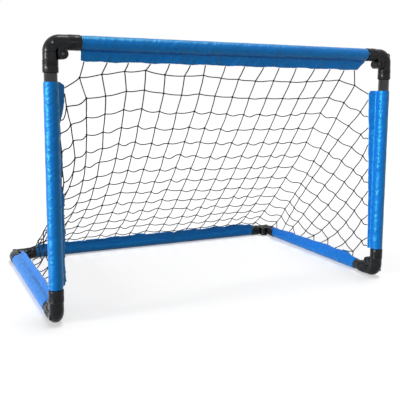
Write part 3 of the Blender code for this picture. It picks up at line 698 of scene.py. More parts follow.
# %% Six corners
# Corner: place, direction of arm A, of arm B and of the button's face
CORNERS = {
    "upper_left": ((LEFT, FRONT, HIGH), AXIS_X, -AXIS_Z, -AXIS_Y),
    "upper_right": ((RIGHT, FRONT, HIGH), -AXIS_X, -AXIS_Z, -AXIS_Y),
    "lower_left": ((LEFT, FRONT, LOW), AXIS_Z, AXIS_Y, -AXIS_X),
    "lower_right": ((RIGHT, FRONT, LOW), AXIS_Z, AXIS_Y, AXIS_X),
    "rear_left": ((LEFT, REAR, LOW), AXIS_X, -AXIS_Y, AXIS_Z),
    "rear_right": ((RIGHT, REAR, LOW), -AXIS_X, -AXIS_Y, AXIS_Z),
}
KNUCKLE_PIECES = {
    "bend": (BEND, PLASTIC),
    "socket": (SOCKET, PLASTIC),
    "bolt": (BOLT, BOLT_ZINC),
    "nut": (NUT, BOLT_ZINC),
    "button": (BUTTON, BUTTON_WITH_GLINT),
}

for corner_name, (corner, arm_a, arm_b, button_face) in CORNERS.items():
    place = Matrix.Translation(corner) @ Matrix((arm_a, -button_face, -arm_b)).transposed().to_4x4()
    for kind, (mesh, finish) in KNUCKLE_PIECES.items():
        node = f"{corner_name}_{kind}"
        add_piece(f"{corner_name}_knuckle_{kind}", mesh, finish, BODY_OF[node], (node,), place)
print("placed", len(CORNERS) * len(KNUCKLE_PIECES), "knuckle pieces")

# %% [markdown]
# ## Tubes
#
# The six tubes are plain steel tube. Only short bare lengths show between a collar and a sleeve, and there the
# gloss matters more than the shape, so each is a lathe with many sides and a small chamfer at its ends.

# %% Tubes
BARS = {
    "crossbar": ("upper_left", "upper_right"),
    "left_post": ("lower_left", "upper_left"),
    "right_post": ("lower_right", "upper_right"),
    "left_rail": ("lower_left", "rear_left"),
    "right_rail": ("lower_right", "rear_right"),
    "rear_rail": ("rear_left", "rear_right"),
}
TUBE_SEAT, TUBE_CHAMFER = SOCKET_SEAT + 0.5 * MM, 0.3 * MM

for bar_name, ends in BARS.items():
    first, second = (Vector(CORNERS[end][0]) for end in ends)
    way, length = (second - first).normalized(), (second - first).length - 2 * TUBE_SEAT
    bore, edge = TUBE_RADIUS - TUBE_WALL, TUBE_RADIUS - TUBE_CHAMFER
    profile = [(0, bore), (0, edge), (TUBE_CHAMFER, TUBE_RADIUS)]
    profile += [(length * share, TUBE_RADIUS) for share in (0.25, 0.5, 0.75)]
    profile += [(length - TUBE_CHAMFER, TUBE_RADIUS), (length, edge), (length, bore)]
    mesh = softened(lathe(profile, way, first + way * TUBE_SEAT))
    node = f"{bar_name}_tube"
    add_piece(f"{bar_name}_black_tube", mesh, TUBE_PAINT, BODY_OF[node], (node,))
    print(bar_name, "tube", round(length, 3), "m")

# %% [markdown]
# ## Cloth sleeves
#
# Each tube wears a sleeve: one strip of cloth wrapped round the tube, its two edges brought together, folded
# under and sewn into a flat flap, to whose hem the net is tied. A cloth simulation would need the stitching to
# hold it, so the strip is laid by rule instead: a section with a round part, two hollow shoulders and two
# layers of flap, carried along the tube while its flap leans, widens, sways and creases. Solidify then gives
# the strip its wall.

# %% Sleeve section
CLOTH_WALL, SLEEVE_RADIUS = 0.55 * MM, 15.45 * MM
SHOULDER_ANGLE, SHOULDER_PULL, SHOULDER_DRAW = math.radians(43), 4.0 * MM, 4.6 * MM
FLAP_START, HEM_WIDTH = 20.5 * MM, 6.5 * MM
LAYER_HALF, HEM_HALF = 0.72 * MM, 1.15 * MM
STATION_STEP = 3.4 * MM
FLAP_STEPS, SHOULDER_STEPS, ROUND_STEPS = 13, 7, 38
ROUND_COLUMNS = 2 * (FLAP_STEPS + SHOULDER_STEPS) + ROUND_STEPS


def smooth(value):
    """A soft step from 0 to 1."""
    value = np.clip(value, 0, 1)
    return value * value * (3 - 2 * value)


def sleeve_section(reach):
    """The closed section at each station, as arrays of distance along the flap and across it."""
    start = np.minimum(FLAP_START, reach - 2.5 * MM)
    half = []
    for share in np.linspace(1, 0, FLAP_STEPS):
        along = start + share * (reach - HEM_HALF - start)
        folded = smooth((HEM_WIDTH - (reach - along)) / (1.2 * MM))
        half.append((along, LAYER_HALF + (HEM_HALF - LAYER_HALF) * folded))
    foot = SLEEVE_RADIUS * np.array([math.cos(SHOULDER_ANGLE), math.sin(SHOULDER_ANGLE)])
    near = foot + np.array([math.sin(SHOULDER_ANGLE), -math.cos(SHOULDER_ANGLE)]) * SHOULDER_PULL
    curve = ((start, start - SHOULDER_DRAW, near[0], foot[0]), (LAYER_HALF, LAYER_HALF, near[1], foot[1]))
    for step in range(1, SHOULDER_STEPS + 1):
        s = step / (SHOULDER_STEPS + 1)
        weights = ((1 - s) ** 3, 3 * s * (1 - s) ** 2, 3 * s * s * (1 - s), s**3)
        half.append([sum(w * p for w, p in zip(weights, line)) for line in curve])
    columns = list(half)
    for angle in np.linspace(SHOULDER_ANGLE, 2 * math.pi - SHOULDER_ANGLE, ROUND_STEPS):
        columns.append((SLEEVE_RADIUS * math.cos(angle), SLEEVE_RADIUS * math.sin(angle)))
    columns += [(along, -across) for along, across in reversed(half)]
    for turn in map(math.radians, (-50, 0, 50)):
        columns.append((reach - HEM_HALF * (1 - math.cos(turn)), HEM_HALF * math.sin(turn)))
    return [np.stack([np.broadcast_to(column[part], reach.shape) for column in columns], 1) for part in (0, 1)]


def crease_field(rng, across, along, count, tilts, widths, lengths, heights):
    """A sum of single straight creases at seeded places over a strip."""
    field = np.zeros_like(across)
    for _ in range(count):
        centre = rng.uniform(across.min(), across.max()), rng.uniform(along.min(), along.max())
        tilt = math.radians(rng.uniform(*tilts)) * rng.choice([-1, 1])
        width, length, height = rng.uniform(*widths), rng.uniform(*lengths), rng.uniform(*heights)
        beside = (along - centre[1]) * math.cos(tilt) - (across - centre[0]) * math.sin(tilt)
        down = (along - centre[1]) * math.sin(tilt) + (across - centre[0]) * math.cos(tilt)
        field += height * np.exp(-((beside / width) ** 2) - (down / length) ** 4)
    return field


def slow_waves(rng, along, waves):
    """A sum of slow waves along a sleeve, from (length in mm, height) pairs."""
    return sum(h * np.cos(2 * math.pi * along / (l * MM) + rng.uniform(0, 2 * math.pi)) for l, h in waves)


print("section of", ROUND_COLUMNS + 3, "points")

# %% [markdown]
# The six sleeves differ in length, in the lean of the flap, and in how the ends of the flap are cut. Each row
# below gives how far its two ends lie from the corners in millimetres, the flap's directions at 0 and 90 degrees,
# its sway, its ripple and its seed. Then come its leans in degrees and its reaches in millimetres, both at
# stations along the sleeve.

# %% Sleeve table
RAIL_REACHES = ((0, 19), (0.055, 33), (0.5, 33), (0.97, 33), (1, 28))
SLEEVES = {
    "crossbar": (
        (64.5, 64.5), -AXIS_Z, AXIS_Y, 1.3, 0.8, 11,
        ((0, 7), (0.25, 12), (0.5, 9), (0.75, 12), (1, 9)),
        ((0, 36), (0.015, 38.5), (0.3, 38.5), (0.6, 39.5), (0.974, 40.5), (0.985, 31), (1, 20)),
    ),
    "rear_rail": (
        (64.5, 64.5), -AXIS_Y, AXIS_Z, 1.8, 1.6, 12,
        ((0, 62), (0.2, 56), (0.4, 64), (0.6, 57), (0.8, 64), (1, 60)),
        ((0, 24), (0.02, 32.5), (0.5, 33), (0.98, 33), (1, 25)),
    ),
    "left_post": (
        (64.5, 81), AXIS_Y, AXIS_X, 0.9, 0.9, 13,
        ((0, 50), (0.3, 52), (0.6, 51), (0.83, 52), (0.9, 55), (1, 56)),
        ((0, 30), (0.02, 33), (0.3, 32), (0.44, 33), (0.49, 28.5), (0.56, 29.5), (0.61, 32), (0.66, 27),
         (0.8, 26.5), (0.87, 35), (0.91, 38.5), (0.985, 39), (1, 25)),
    ),
    "right_post": (
        (64.5, 93), AXIS_Y, -AXIS_X, 0.9, 0.5, 14,
        ((0, 51), (0.3, 51), (0.6, 52), (0.85, 53), (1, 54)),
        ((0, 24.5), (0.25, 27), (0.5, 30.5), (0.75, 34), (0.9, 36.5), (0.985, 38), (1, 33)),
    ),
    "left_rail": (
        (81.5, 64.5), AXIS_X, AXIS_Z, 1.0, 0.9, 15,
        ((0, 72), (0.15, 66), (0.5, 60), (0.8, 61), (1, 58)),
        RAIL_REACHES,
    ),
    "right_rail": (
        (81.5, 64.5), -AXIS_X, AXIS_Z, 1.0, 0.9, 16,
        ((0, 70), (0.15, 64), (0.5, 60), (0.8, 54), (1, 48)),
        RAIL_REACHES,
    ),
}
print(len(SLEEVES), "sleeves")

# %% Lay a sleeve
CUFF, CUFF_SWELL, END_DRAW, BULGE = 4 * MM, 0.35 * MM, 0.5 * MM, 0.35 * MM
RIPPLE_WAVES = ((88, 1.0), (47, 0.4), (23, 0.25), (13, 0.15))
BULGE_WAVES = ((83, 0.6), (37, 0.5))
SWAY_WAVES = ((170, 0.55), (71, 0.45), (34, 0.28), (15, 0.12))
LEAN_WAVES = ((210, 1.2), (95, 0.9))
ROUND_CREASES = (20, 70), (1.8 * MM, 4.2 * MM), (8 * MM, 24 * MM), (0.25 * MM, 1.2 * MM)
FLAP_CREASES = (15, 55), (2.0 * MM, 4.6 * MM), (7 * MM, 18 * MM), (-1.5 * MM, 1.5 * MM)


def rise(value, start, width):
    """A soft step that starts at a length and takes a width, both in millimetres."""
    return smooth((value - start * MM) / (width * MM))


def keyed(stations, keys):
    """A value along a sleeve, joined by straight lines between its keys."""
    return np.interp(stations, *zip(*keys))


def lay_sleeve(bar, gaps, zero, right_angle, sway, ripple, seed, leans, reaches):
    """A sleeve's grid of points, as (stations, round, 3), with its distances along and round in metres."""
    first, second = (np.array(CORNERS[end][0]) for end in BARS[bar])
    axis = (second - first) / np.linalg.norm(second - first)
    first, second = first + axis * gaps[0] * MM, second - axis * gaps[1] * MM
    length = np.linalg.norm(second - first)
    rng = np.random.default_rng(seed)
    share = np.linspace(0, 1, round(length / STATION_STEP) + 1)
    along = share * length
    to_end = np.minimum(along, length - along)
    reach = keyed(share, reaches) * MM
    reach = reach + rise(reach, 22, 8) * slow_waves(rng, along, RIPPLE_WAVES) * ripple * MM
    p, q = sleeve_section(reach)
    tight = (1 - rise(to_end, 0, 9))[:, None]
    cuff = smooth(1 - np.abs(to_end - CUFF) / CUFF)[:, None]
    on_tube = 1 - rise(p, 13, 6)
    shrink = 1 - on_tube * (END_DRAW * tight - CUFF_SWELL * cuff) / np.hypot(p, q)
    p, q = p * shrink, q * shrink

    step_p, step_q = np.roll(p, -1, 1) - np.roll(p, 1, 1), np.roll(q, -1, 1) - np.roll(q, 1, 1)
    size = np.hypot(step_p, step_q)
    normal_p, normal_q = step_q / size, -step_p / size
    edge = np.hypot(np.diff(p, axis=1), np.diff(q, axis=1))
    around = np.concatenate([np.zeros((len(p), 1)), np.cumsum(edge, 1)], 1)
    v = np.repeat(along[:, None], p.shape[1], 1)

    creases = crease_field(rng, around, v, round(length / (6 * MM)), *ROUND_CREASES)
    creases = np.clip(creases, -0.4 * MM, 2.0 * MM) * rise(p, -9, 14) * on_tube
    bulge = BULGE * (0.5 + 0.5 * slow_waves(rng, v, BULGE_WAVES)) * on_tube
    push = (creases + np.clip(bulge, -0.3 * MM, 1 * MM)) * rise(to_end, 0, 14)[:, None]
    p, q = p + normal_p * push, q + normal_q * push

    off = np.clip((p - 14 * MM) / (22 * MM), 0, 1)
    flap_creases = crease_field(rng, p, v, round(length / (5 * MM)), *FLAP_CREASES)
    swing = slow_waves(rng, v, SWAY_WAVES) * sway * MM
    q = q + off**1.1 * swing + smooth(off * 2.2) * flap_creases * sway * 0.8

    lean = np.radians(keyed(share, leans) + slow_waves(rng, along, LEAN_WAVES))
    flap = np.cos(lean)[:, None] * np.array(zero) + np.sin(lean)[:, None] * np.array(right_angle)
    side = np.cross(axis, flap)
    base = first + along[:, None] * axis
    grid = base[:, None] + p[..., None] * flap[:, None] + q[..., None] * side[:, None]
    outward = normal_p[..., None] * flap[:, None] + normal_q[..., None] * side[:, None]
    kept = {"first": first, "axis": axis, "length": length, "reach": reach}
    return {"grid": grid, "along": v, "around": around, "outward": outward, **kept}


def at_quads(here, after):
    """The four corners' values at each quad of a grid, from the values at its points and at those after them."""
    return np.stack([here[:-1], after[:-1], after[1:], here[1:]], -1).reshape(-1, 4)


def sleeve_mesh(laid):
    """The sleeve's strip as a mesh with a UV map in metres, before it has a wall."""
    points = laid["grid"].reshape(-1, 3)
    here = np.arange(len(points)).reshape(laid["grid"].shape[:2])
    wrap = np.concatenate([laid["around"], laid["around"][:, -1:] + 0.8 * MM], 1)
    us, vs = at_quads(wrap[:, :-1], wrap[:, 1:]), at_quads(laid["along"], laid["along"])
    mesh = bpy.data.meshes.new("sleeve")
    mesh.from_pydata(points.tolist(), [], at_quads(here, np.roll(here, -1, 1)).tolist())
    mesh.uv_layers.new(name="UVMap").data.foreach_set("uv", np.stack([us.ravel(), vs.ravel()], 1).ravel())
    return mesh


LAID = {name: lay_sleeve(name, *row) for name, row in SLEEVES.items()}
for name, laid in LAID.items():
    print(name, "sleeve:", laid["grid"].shape[0], "stations,", round(laid["length"], 3), "m long")

# %% [markdown]
# ### Hem stitches
#
# A row of lockstitch runs along each hem and along the seam that closes the sleeve, on both layers. One
# Geometry Nodes tree lays them: it walks a line on the cloth in equal steps, sets a small arched stitch at
# each, turned along the line and up from the cloth, and gives them the thread's finish.

# %% Stitch tree
def close_tree(tree, made, finish, out):
    """Ends a tree: what it made becomes plain geometry with its finish."""
    real = add_node(tree, "GeometryNodeRealizeInstances", {"Geometry": made})
    finished = add_node(tree, "GeometryNodeSetMaterial", {"Geometry": real, "Material": finish})
    tree.links.new(finished.outputs[0], out[0])
    return tree


def vector(tree, **parts):
    """A vector from its parts, the others 0."""
    return add_node(tree, "ShaderNodeCombineXYZ", parts)


def make_stitch_tree():
    """The tree that sews stitches along lines, with named sizes."""
    sizes = {"Pitch": 3.6 * MM, "Stitch Length": 2.5 * MM, "Thread Radius": 0.2 * MM, "Arch": 0.28 * MM}
    takes = {"Lines": "Geometry", **sizes, "Thread": "Material"}
    tree, given, out = new_tree("GeometryNodeTree", "sew_stitches", takes, {"Stitches": "Geometry"})
    curves = add_node(tree, "GeometryNodeMeshToCurve", {"Mesh": given["Lines"]})
    steps = add_node(tree, "GeometryNodeResampleCurve", {"Curve": curves, "Length": given["Pitch"]}, mode="LENGTH")
    half = maths(tree, "MULTIPLY", given["Stitch Length"], 0.5)
    back, ahead = vector(tree, Z=maths(tree, "MULTIPLY", half, -1.0)), vector(tree, Z=half)
    feeds = {"Resolution": 3, "Start": back, "Middle": vector(tree, Y=given["Arch"]), "End": ahead}
    arch = add_node(tree, "GeometryNodeCurveQuadraticBezier", feeds)
    ring = add_node(tree, "GeometryNodeCurvePrimitiveCircle", {"Resolution": 4, "Radius": given["Thread Radius"]})
    stitch = add_node(tree, "GeometryNodeCurveToMesh", {"Curve": arch, "Profile Curve": ring, "Fill Caps": True})
    tangent = add_node(tree, "GeometryNodeInputTangent")
    cloth = add_node(tree, "GeometryNodeInputNamedAttribute", {"Name": "cloth_out"}, data_type="FLOAT_VECTOR")
    align = "FunctionNodeAlignRotationToVector"
    turn = add_node(tree, align, {"Vector": tangent}, axis="Z", pivot_axis="AUTO")
    turn = add_node(tree, align, {"Rotation": turn, "Vector": cloth}, axis="Y", pivot_axis="Z")
    feeds = {"Points": steps, "Instance": stitch, "Rotation": turn}
    return close_tree(tree, add_node(tree, "GeometryNodeInstanceOnPoints", feeds), given["Thread"], out)


def grown(mesh, tree, **sizes):
    """The plain mesh that a Geometry Nodes tree makes of a mesh, with the tree's inputs set by their names."""
    named = {item.name: item.identifier for item in tree.interface.items_tree if item.item_type == "SOCKET"}
    inputs = {named[name.replace("_", " ")]: value for name, value in sizes.items()}
    return applied(mesh, ("NODES", {"node_group": tree, **inputs}))


def line_mesh(lines, directions=None):
    """Polylines as one mesh of edges, with a direction stored at each point where directions are given."""
    edges, start = [], 0
    for line in lines:
        edges += [(start + step, start + step + 1) for step in range(len(line) - 1)]
        start += len(line)
    mesh = bpy.data.meshes.new("lines")
    mesh.from_pydata(np.concatenate(lines).tolist(), edges, [])
    if directions is not None:
        store = mesh.attributes.new("cloth_out", "FLOAT_VECTOR", "POINT")
        store.data.foreach_set("vector", np.concatenate(directions).astype(np.float32).ravel())
    return mesh


STITCH_TREE = make_stitch_tree()
print("stitch tree of", len(STITCH_TREE.nodes), "nodes")

# %% Sew the sleeves
STITCH_INSET, STITCH_LIFT, STITCH_FROM_HEM = 2, 0.02 * MM, 4.6 * MM
SEAM_COLUMN = FLAP_STEPS - 1.6


def stitch_rows(laid):
    """The lines to sew on one sleeve: beside the hem and beside the closing seam, on both layers."""
    flap = float(np.median(laid["reach"])) - HEM_HALF - FLAP_START
    rows = slice(STITCH_INSET, len(laid["grid"]) - STITCH_INSET)
    lines, directions = [], []
    for column in (STITCH_FROM_HEM / flap * (FLAP_STEPS - 1), SEAM_COLUMN):
        for place in (column, ROUND_COLUMNS - 1 - column):
            low, part = int(place), place - int(place)
            points, out = (laid[k][rows, low] * (1 - part) + laid[k][rows, low + 1] * part for k in ("grid", "outward"))
            lines.append(points + out * STITCH_LIFT)
            directions.append(out)
    return line_mesh(lines, directions)


WALL = {"thickness": CLOTH_WALL, "offset": -1, "use_rim": True}
for name, laid in LAID.items():
    node = f"{name}_sleeve"
    strip = smoothed(applied(sleeve_mesh(laid), ("SOLIDIFY", WALL)), 60)
    cloth = add_piece(f"{name}_blue_sleeve", strip, CLOTH, BODY_OF[node], (node,))
    thread = grown(stitch_rows(laid), STITCH_TREE, Thread=THREAD)
    thread.shade_smooth()
    sewn = add_piece(f"{name}_hem_stitches", thread, THREAD, BODY_OF[node])

# %% [markdown]
# ## The net
#
# The net is one knotted mesh of black twine, tied to the hem of the crossbar, down to the rear rail, and round
# both sides to the hems of posts and side rails. A knotted net is a graph: knots joined by bars of twine. The
# knots of the back follow its sagging columns at even bars, and those of the sides fall back from the post in
# rows, both as measured in the photograph. Each bar is a little longer than the way between its knots, so it
# bows down by what its slack allows.

# %% Net plan
BACK_COLUMNS, BACK_ROWS = 16, 14
NET_BAR = 55.5 * MM
FIRST_BARS = (37, 29.5, 19, 17.5, 28.5, 31, 28.6, 33, 37.5, 40, 39, 40, 36.5, 33.5, 28, 49)
FIRST_SHIFTS = (-12, -11.5, -8, -6, -5, -2, 0, 2, 1, -1, 3.5, 1.5, 3.5, 5, 6.5, 10.5)
LINE_SHIFTS = (0, 3, 4, 5, 4, 4, 2, 1, -2, 1, 3, 8, 5, 5, 5, 14)
TIE_SHIFTS = (0, 3, 4, 8, 5, 9, -1, 5, 6, 12, 9, 12, 18, 18, 15, 0)
NET_SAG, NET_EDGE_SAG, NET_EDGE_DRAW = 30 * MM, 26 * MM, 36 * MM
NET_EDGE_SPAN = 105 * MM
SAG_POWER = 0.85
LINKS = 5
SIDE_FIRST_BACK = -255 * MM
SIDE_TOPS = {"left": 472 * MM, "right": 455 * MM}
SIDE_BELLIES = {"left": 2.2, "right": 1.4}
SIDE_SPREADS = {"left": 0.56, "right": 1.0}
SIDE_STEP_BACK, SIDE_STEP_GROWTH = 26.7 * MM, 1.67 * MM
SIDE_STEP_DOWN, SIDE_COLUMN_DOWN = 40.5 * MM, 60 * MM
SIDE_ROWS = {1: (2, 12), 2: (3, 12), 3: (4, 11), 4: (5, 11), 5: (6, 10), 6: (7, 9), 7: (8, 9)}
POST_TIES = {
    "B": (503, 442, 383, 321, 261, 197, 144, 88),
    "A": (485, 414, 364, 300, 238, 173, 110),
}
TOP_TIE_LIFTS = {"leftB1": 10, "leftA1": 15}
RAIL_TIE_ORDER = ("D13", "C1", "C2", "D12", "C3", "C4", "D11", "C5", "D10", "C6", "C7", "D9")
RAIL_TIE_FIRST, RAIL_TIE_PITCH = 222 * MM, 35.5 * MM
CROSSBAR_TIE_FIRST, CROSSBAR_TIE_PITCH = -369 * MM, 47.7 * MM
REAR_TIE_FIRST, REAR_TIE_PITCH = -335 * MM, 50.5 * MM
TIE_DROP = 1.6 * MM
TIE_STRAY, POST_STRAY, BACK_STRAY, SIDE_STRAY = 3, 2, 1.5, 2


def tie_point(sleeve, place):
    """Where twine hangs from a sleeve's hem, at a coordinate along its tube."""
    laid = LAID[sleeve]
    travel = place - laid["first"] @ laid["axis"]
    row = np.clip(travel / laid["length"], 0, 1) * (len(laid["grid"]) - 1)
    low = min(int(row), len(laid["grid"]) - 2)
    edge = laid["grid"][:, ROUND_COLUMNS + 1]
    point = edge[low] * (1 - (row - low)) + edge[low + 1] * (row - low)
    out = point - (laid["first"] + laid["axis"] * travel)
    return point + out / np.linalg.norm(out) * TIE_DROP


def bowed(a, b, slack, rng):
    """The links of a bar with some slack: it dips by what the slack allows, more on one side of its middle."""
    dip = math.sqrt(slack * 3 / 8) * np.linalg.norm(b - a)
    skew = dip * rng.uniform(-0.1, 0.7)
    shares = np.arange(1, LINKS)[:, None] / LINKS
    drop = dip * np.sin(math.pi * shares) + skew * np.sin(2 * math.pi * shares)
    sway = rng.normal(0, 0.25, 3) * MM * np.sin(math.pi * shares)
    return a + (b - a) * shares - drop * np.array([0, 0.3, 1]) + sway


class Net:
    """Knots by name, the sleeves that some are tied to, and the strands of twine between them."""

    def __init__(self, seed):
        self.names, self.points, self.strands, self.ties = {}, [], [], {}
        self.rng = np.random.default_rng(seed)

    def stray(self, most, size=None):
        """A random offset of up to so many millimetres."""
        return self.rng.uniform(-most, most, size) * MM

    def knot(self, name, point):
        """Adds a knot."""
        self.names[name] = len(self.points)
        self.points.append(np.array(point, float))

    def tie(self, name, sleeve, place):
        """Adds a knot that is tied to a sleeve's hem."""
        self.knot(name, tie_point(sleeve, place))
        self.ties[name] = sleeve

    def place(self, name):
        """Where a knot is."""
        return self.points[self.names[name]]

    def join(self, names, slack, group):
        """Joins knots in turn by bars of twine, with a slack between two shares of their distance."""
        for first, second in zip(names, names[1:]):
            start = len(self.points)
            self.points.extend(bowed(self.place(first), self.place(second), self.rng.uniform(*slack), self.rng))
            self.strands.append(([self.names[first], *range(start, len(self.points)), self.names[second]], group))


def column_knots(top, foot, first_bar, edge):
    """The knots of a back column: its line sags and draws in near the sides, and knots follow it at even bars."""
    falls = np.linspace(0, 1, 200)
    swell = np.sin(math.pi * falls)
    run = foot - top
    outward = np.cross([1, 0, 0], run)
    outward /= np.linalg.norm(outward)
    line = top + run * falls[:, None]
    line = line - outward * ((NET_SAG + NET_EDGE_SAG * abs(edge)) * np.abs(swell) ** SAG_POWER)[:, None]
    line[:, 0] -= NET_EDGE_DRAW * edge * swell
    travel = np.append(0, np.cumsum(np.linalg.norm(np.diff(line, axis=0), axis=1)))
    bar = min(NET_BAR, (travel[-1] - first_bar - TIE_DROP * 6) / (BACK_ROWS - 1))
    stops = first_bar + bar * np.arange(BACK_ROWS)
    return np.stack([np.interp(stops, travel, line[:, axis]) for axis in range(3)], 1)


def side_knots(net, side, k, count):
    """The knots of a side column: it leaves the post, falls back beside the back net and ends at its rail tie."""
    rim = np.array([net.place(f"K{EDGES[side]}_{r}") for r in reversed(ROWS)])
    hem, foot = net.place(f"{side}A{k}"), net.place(f"{side}C{k}")
    steps = np.arange(count + 1)
    back = SIDE_FIRST_BACK + SIDE_STEP_BACK * steps + SIDE_STEP_GROWTH * steps**2
    height = SIDE_TOPS[side] - SIDE_COLUMN_DOWN * (k - 1) - SIDE_STEP_DOWN * steps
    settle = (steps / count) ** 3
    back += (foot[1] - back[-1]) * settle
    height += (foot[2] - height[-1]) * settle
    share = np.clip((back - hem[1]) / (np.interp(height, rim[:, 2], rim[:, 1]) - hem[1]), 0, 1)
    spread = SIDE_SPREADS[side] ** (k * (1 + np.maximum(steps + k - 6, 0) / 3))
    inward = np.minimum(share ** SIDE_BELLIES[side], spread)
    across = hem[0] + (np.interp(height, rim[:, 2], rim[:, 0]) - hem[0]) * inward
    return np.stack([across, back, height], 1)[:-1]


# %% Net knots
NET = Net(21)
LAST, ROWS = BACK_COLUMNS - 1, range(1, BACK_ROWS + 1)
EDGES = {"left": 0, "right": LAST}
for c in range(BACK_COLUMNS):
    place = CROSSBAR_TIE_FIRST + CROSSBAR_TIE_PITCH * c
    NET.tie(f"T{c}", "crossbar", place + TIE_SHIFTS[c] * MM)
    if c < LAST:
        NET.tie(f"U{c}", "rear_rail", REAR_TIE_FIRST + REAR_TIE_PITCH * c + NET.stray(TIE_STRAY))
    else:
        NET.tie(f"U{c}", "right_rail", RAIL_TIE_FIRST)
    near_left, near_right = (math.exp(-steps * CROSSBAR_TIE_PITCH / NET_EDGE_SPAN) for steps in (c, LAST - c))
    top = tie_point("crossbar", place + LINE_SHIFTS[c] * MM)
    knots = column_knots(top, NET.place(f"U{c}"), FIRST_BARS[c] * MM, near_right - near_left)
    knots[0, 0] += FIRST_SHIFTS[c] * MM
    for r, point in zip(ROWS, knots):
        NET.knot(f"K{c}_{r}", point + NET.stray(BACK_STRAY, 3))

for side in EDGES:
    for letter, heights in POST_TIES.items():
        for number, height in enumerate(heights, 1):
            name = f"{side}{letter}{number}"
            lifted = height + TOP_TIE_LIFTS.get(name, 0)
            NET.tie(name, f"{side}_post", lifted * MM + NET.stray(POST_STRAY))
    for step, name in enumerate(RAIL_TIE_ORDER):
        place = RAIL_TIE_FIRST - (step + (side == "right")) * RAIL_TIE_PITCH
        NET.tie(f"{side}{name}", f"{side}_rail", place + NET.stray(TIE_STRAY))
    for k, (first, last) in SIDE_ROWS.items():
        for r, point in enumerate(side_knots(NET, side, k, last + 1 - first), first):
            NET.knot(f"{side}S{k}_{r}", point + NET.stray(SIDE_STRAY, 3))
print(len(NET.points), "knots and ties")

# %% Net bars
TAUT, EASY, LOOSE = (0.0005, 0.003), (0.004, 0.035), (0.06, 0.16)
for c in range(BACK_COLUMNS):
    NET.join([f"T{c}", *(f"K{c}_{r}" for r in ROWS), f"U{c}"], TAUT, "back")
for r in ROWS:
    NET.join([f"K{c}_{r}" for c in range(BACK_COLUMNS)], TAUT if r < 3 else EASY, "back")
for side, edge in EDGES.items():
    for k, (first, last) in SIDE_ROWS.items():
        column = (f"{side}S{k}_{r}" for r in range(first, last + 1))
        NET.join([f"{side}A{k}", *column, f"{side}C{k}"], TAUT, side)
    for r in ROWS[:-1]:
        row = (f"{side}S{k}_{r}" for k, (first, last) in SIDE_ROWS.items() if first <= r <= last)
        names = [f"K{edge}_{r}", *row]
        NET.join(names, EASY, side)
        on_post = r <= len(POST_TIES["B"])
        end = f"{side}{'B' if on_post else 'D'}{r}"
        NET.join([names[-1], end], LOOSE if on_post and len(names) > 1 else TAUT, side)
HUNG = np.array(NET.points)
print(len(NET.strands), "bars of twine")

# %% [markdown]
# ### Twine and knots
#
# Geometry Nodes turns each strand into a round twine and stores a UV map on it that runs round and along, for
# the twist. A second tree puts a lumpy knot on every crossing and at every tie, each turned its own way.

# %% Twine and knot trees
TWINE_RADIUS = 1.35 * MM


def captured(tree, curve, measure):
    """A curve with a measure of the way along it kept on its points."""
    kept = tree.nodes.new("GeometryNodeCaptureAttribute")
    kept.capture_items.new("FLOAT", measure)
    tree.links.new(curve.outputs[0], kept.inputs[0])
    tree.links.new(add_node(tree, "GeometryNodeSplineParameter").outputs[measure], kept.inputs[1])
    return kept


def make_twine_tree():
    """The tree that gives strands their round twine, with a UV map of turns round and metres along."""
    takes = {"Strands": "Geometry", "Twine Radius": TWINE_RADIUS, "Sides": 6, "Steps": 2, "Twine": "Material"}
    tree, given, out = new_tree("GeometryNodeTree", "spin_twine", takes, {"Net": "Geometry"})
    curves = add_node(tree, "GeometryNodeMeshToCurve", {"Mesh": given["Strands"]})
    kind = add_node(tree, "GeometryNodeCurveSplineType", {"Curve": curves}, spline_type="CATMULL_ROM")
    fine = add_node(tree, "GeometryNodeSetSplineResolution", {"Geometry": kind, "Resolution": given["Steps"]})
    along = captured(tree, fine, "Length")
    sides = maths(tree, "ADD", given["Sides"], 1.0)
    feeds = {"Resolution": sides, "Radius": given["Twine Radius"], "Sweep Angle": 2 * math.pi}
    turn = captured(tree, add_node(tree, "GeometryNodeCurveArc", feeds), "Factor")
    skin = add_node(tree, "GeometryNodeCurveToMesh", {"Curve": along, "Profile Curve": turn, "Fill Caps": False})
    feeds = {"Geometry": skin, "Name": "UVMap", "Value": vector(tree, X=turn.outputs[1], Y=along.outputs[1])}
    stored = add_node(tree, "GeometryNodeStoreNamedAttribute", feeds, data_type="FLOAT2", domain="CORNER")
    joined = add_node(tree, "GeometryNodeMergeByDistance", {"Geometry": stored, "Distance": 0.02 * MM})
    return close_tree(tree, add_node(tree, "GeometryNodeSetShadeSmooth", {"Geometry": joined}), given["Twine"], out)


def make_knot_tree():
    """The tree that puts a knot on every point, each turned its own way."""
    takes = {"Places": "Geometry", "Piece": "Object", "Smallest": 0.85, "Largest": 1.2, "Seed": 5, "Twine": "Material"}
    tree, given, out = new_tree("GeometryNodeTree", "tie_knots", takes, {"Knots": "Geometry"})
    shape = add_node(tree, "GeometryNodeObjectInfo", {"Object": given["Piece"]}, transform_space="ORIGINAL")
    feeds = {"Seed": given["Seed"], 2: given["Smallest"], 3: given["Largest"]}
    size = add_node(tree, "FunctionNodeRandomValue", feeds, data_type="FLOAT").outputs[1]
    feeds = {"Seed": given["Seed"], 0: (0, 0, 0), 1: (2 * math.pi,) * 3}
    turn = add_node(tree, "FunctionNodeRandomValue", feeds, data_type="FLOAT_VECTOR")
    points = add_node(tree, "GeometryNodeMeshToPoints", {"Mesh": given["Places"]})
    feeds = {"Points": points, "Instance": shape.outputs["Geometry"], "Rotation": turn, "Scale": size}
    return close_tree(tree, add_node(tree, "GeometryNodeInstanceOnPoints", feeds), given["Twine"], out)


TWINE_TREE, KNOT_TREE = make_twine_tree(), make_knot_tree()
print("trees:", TWINE_TREE.name, "and", KNOT_TREE.name)

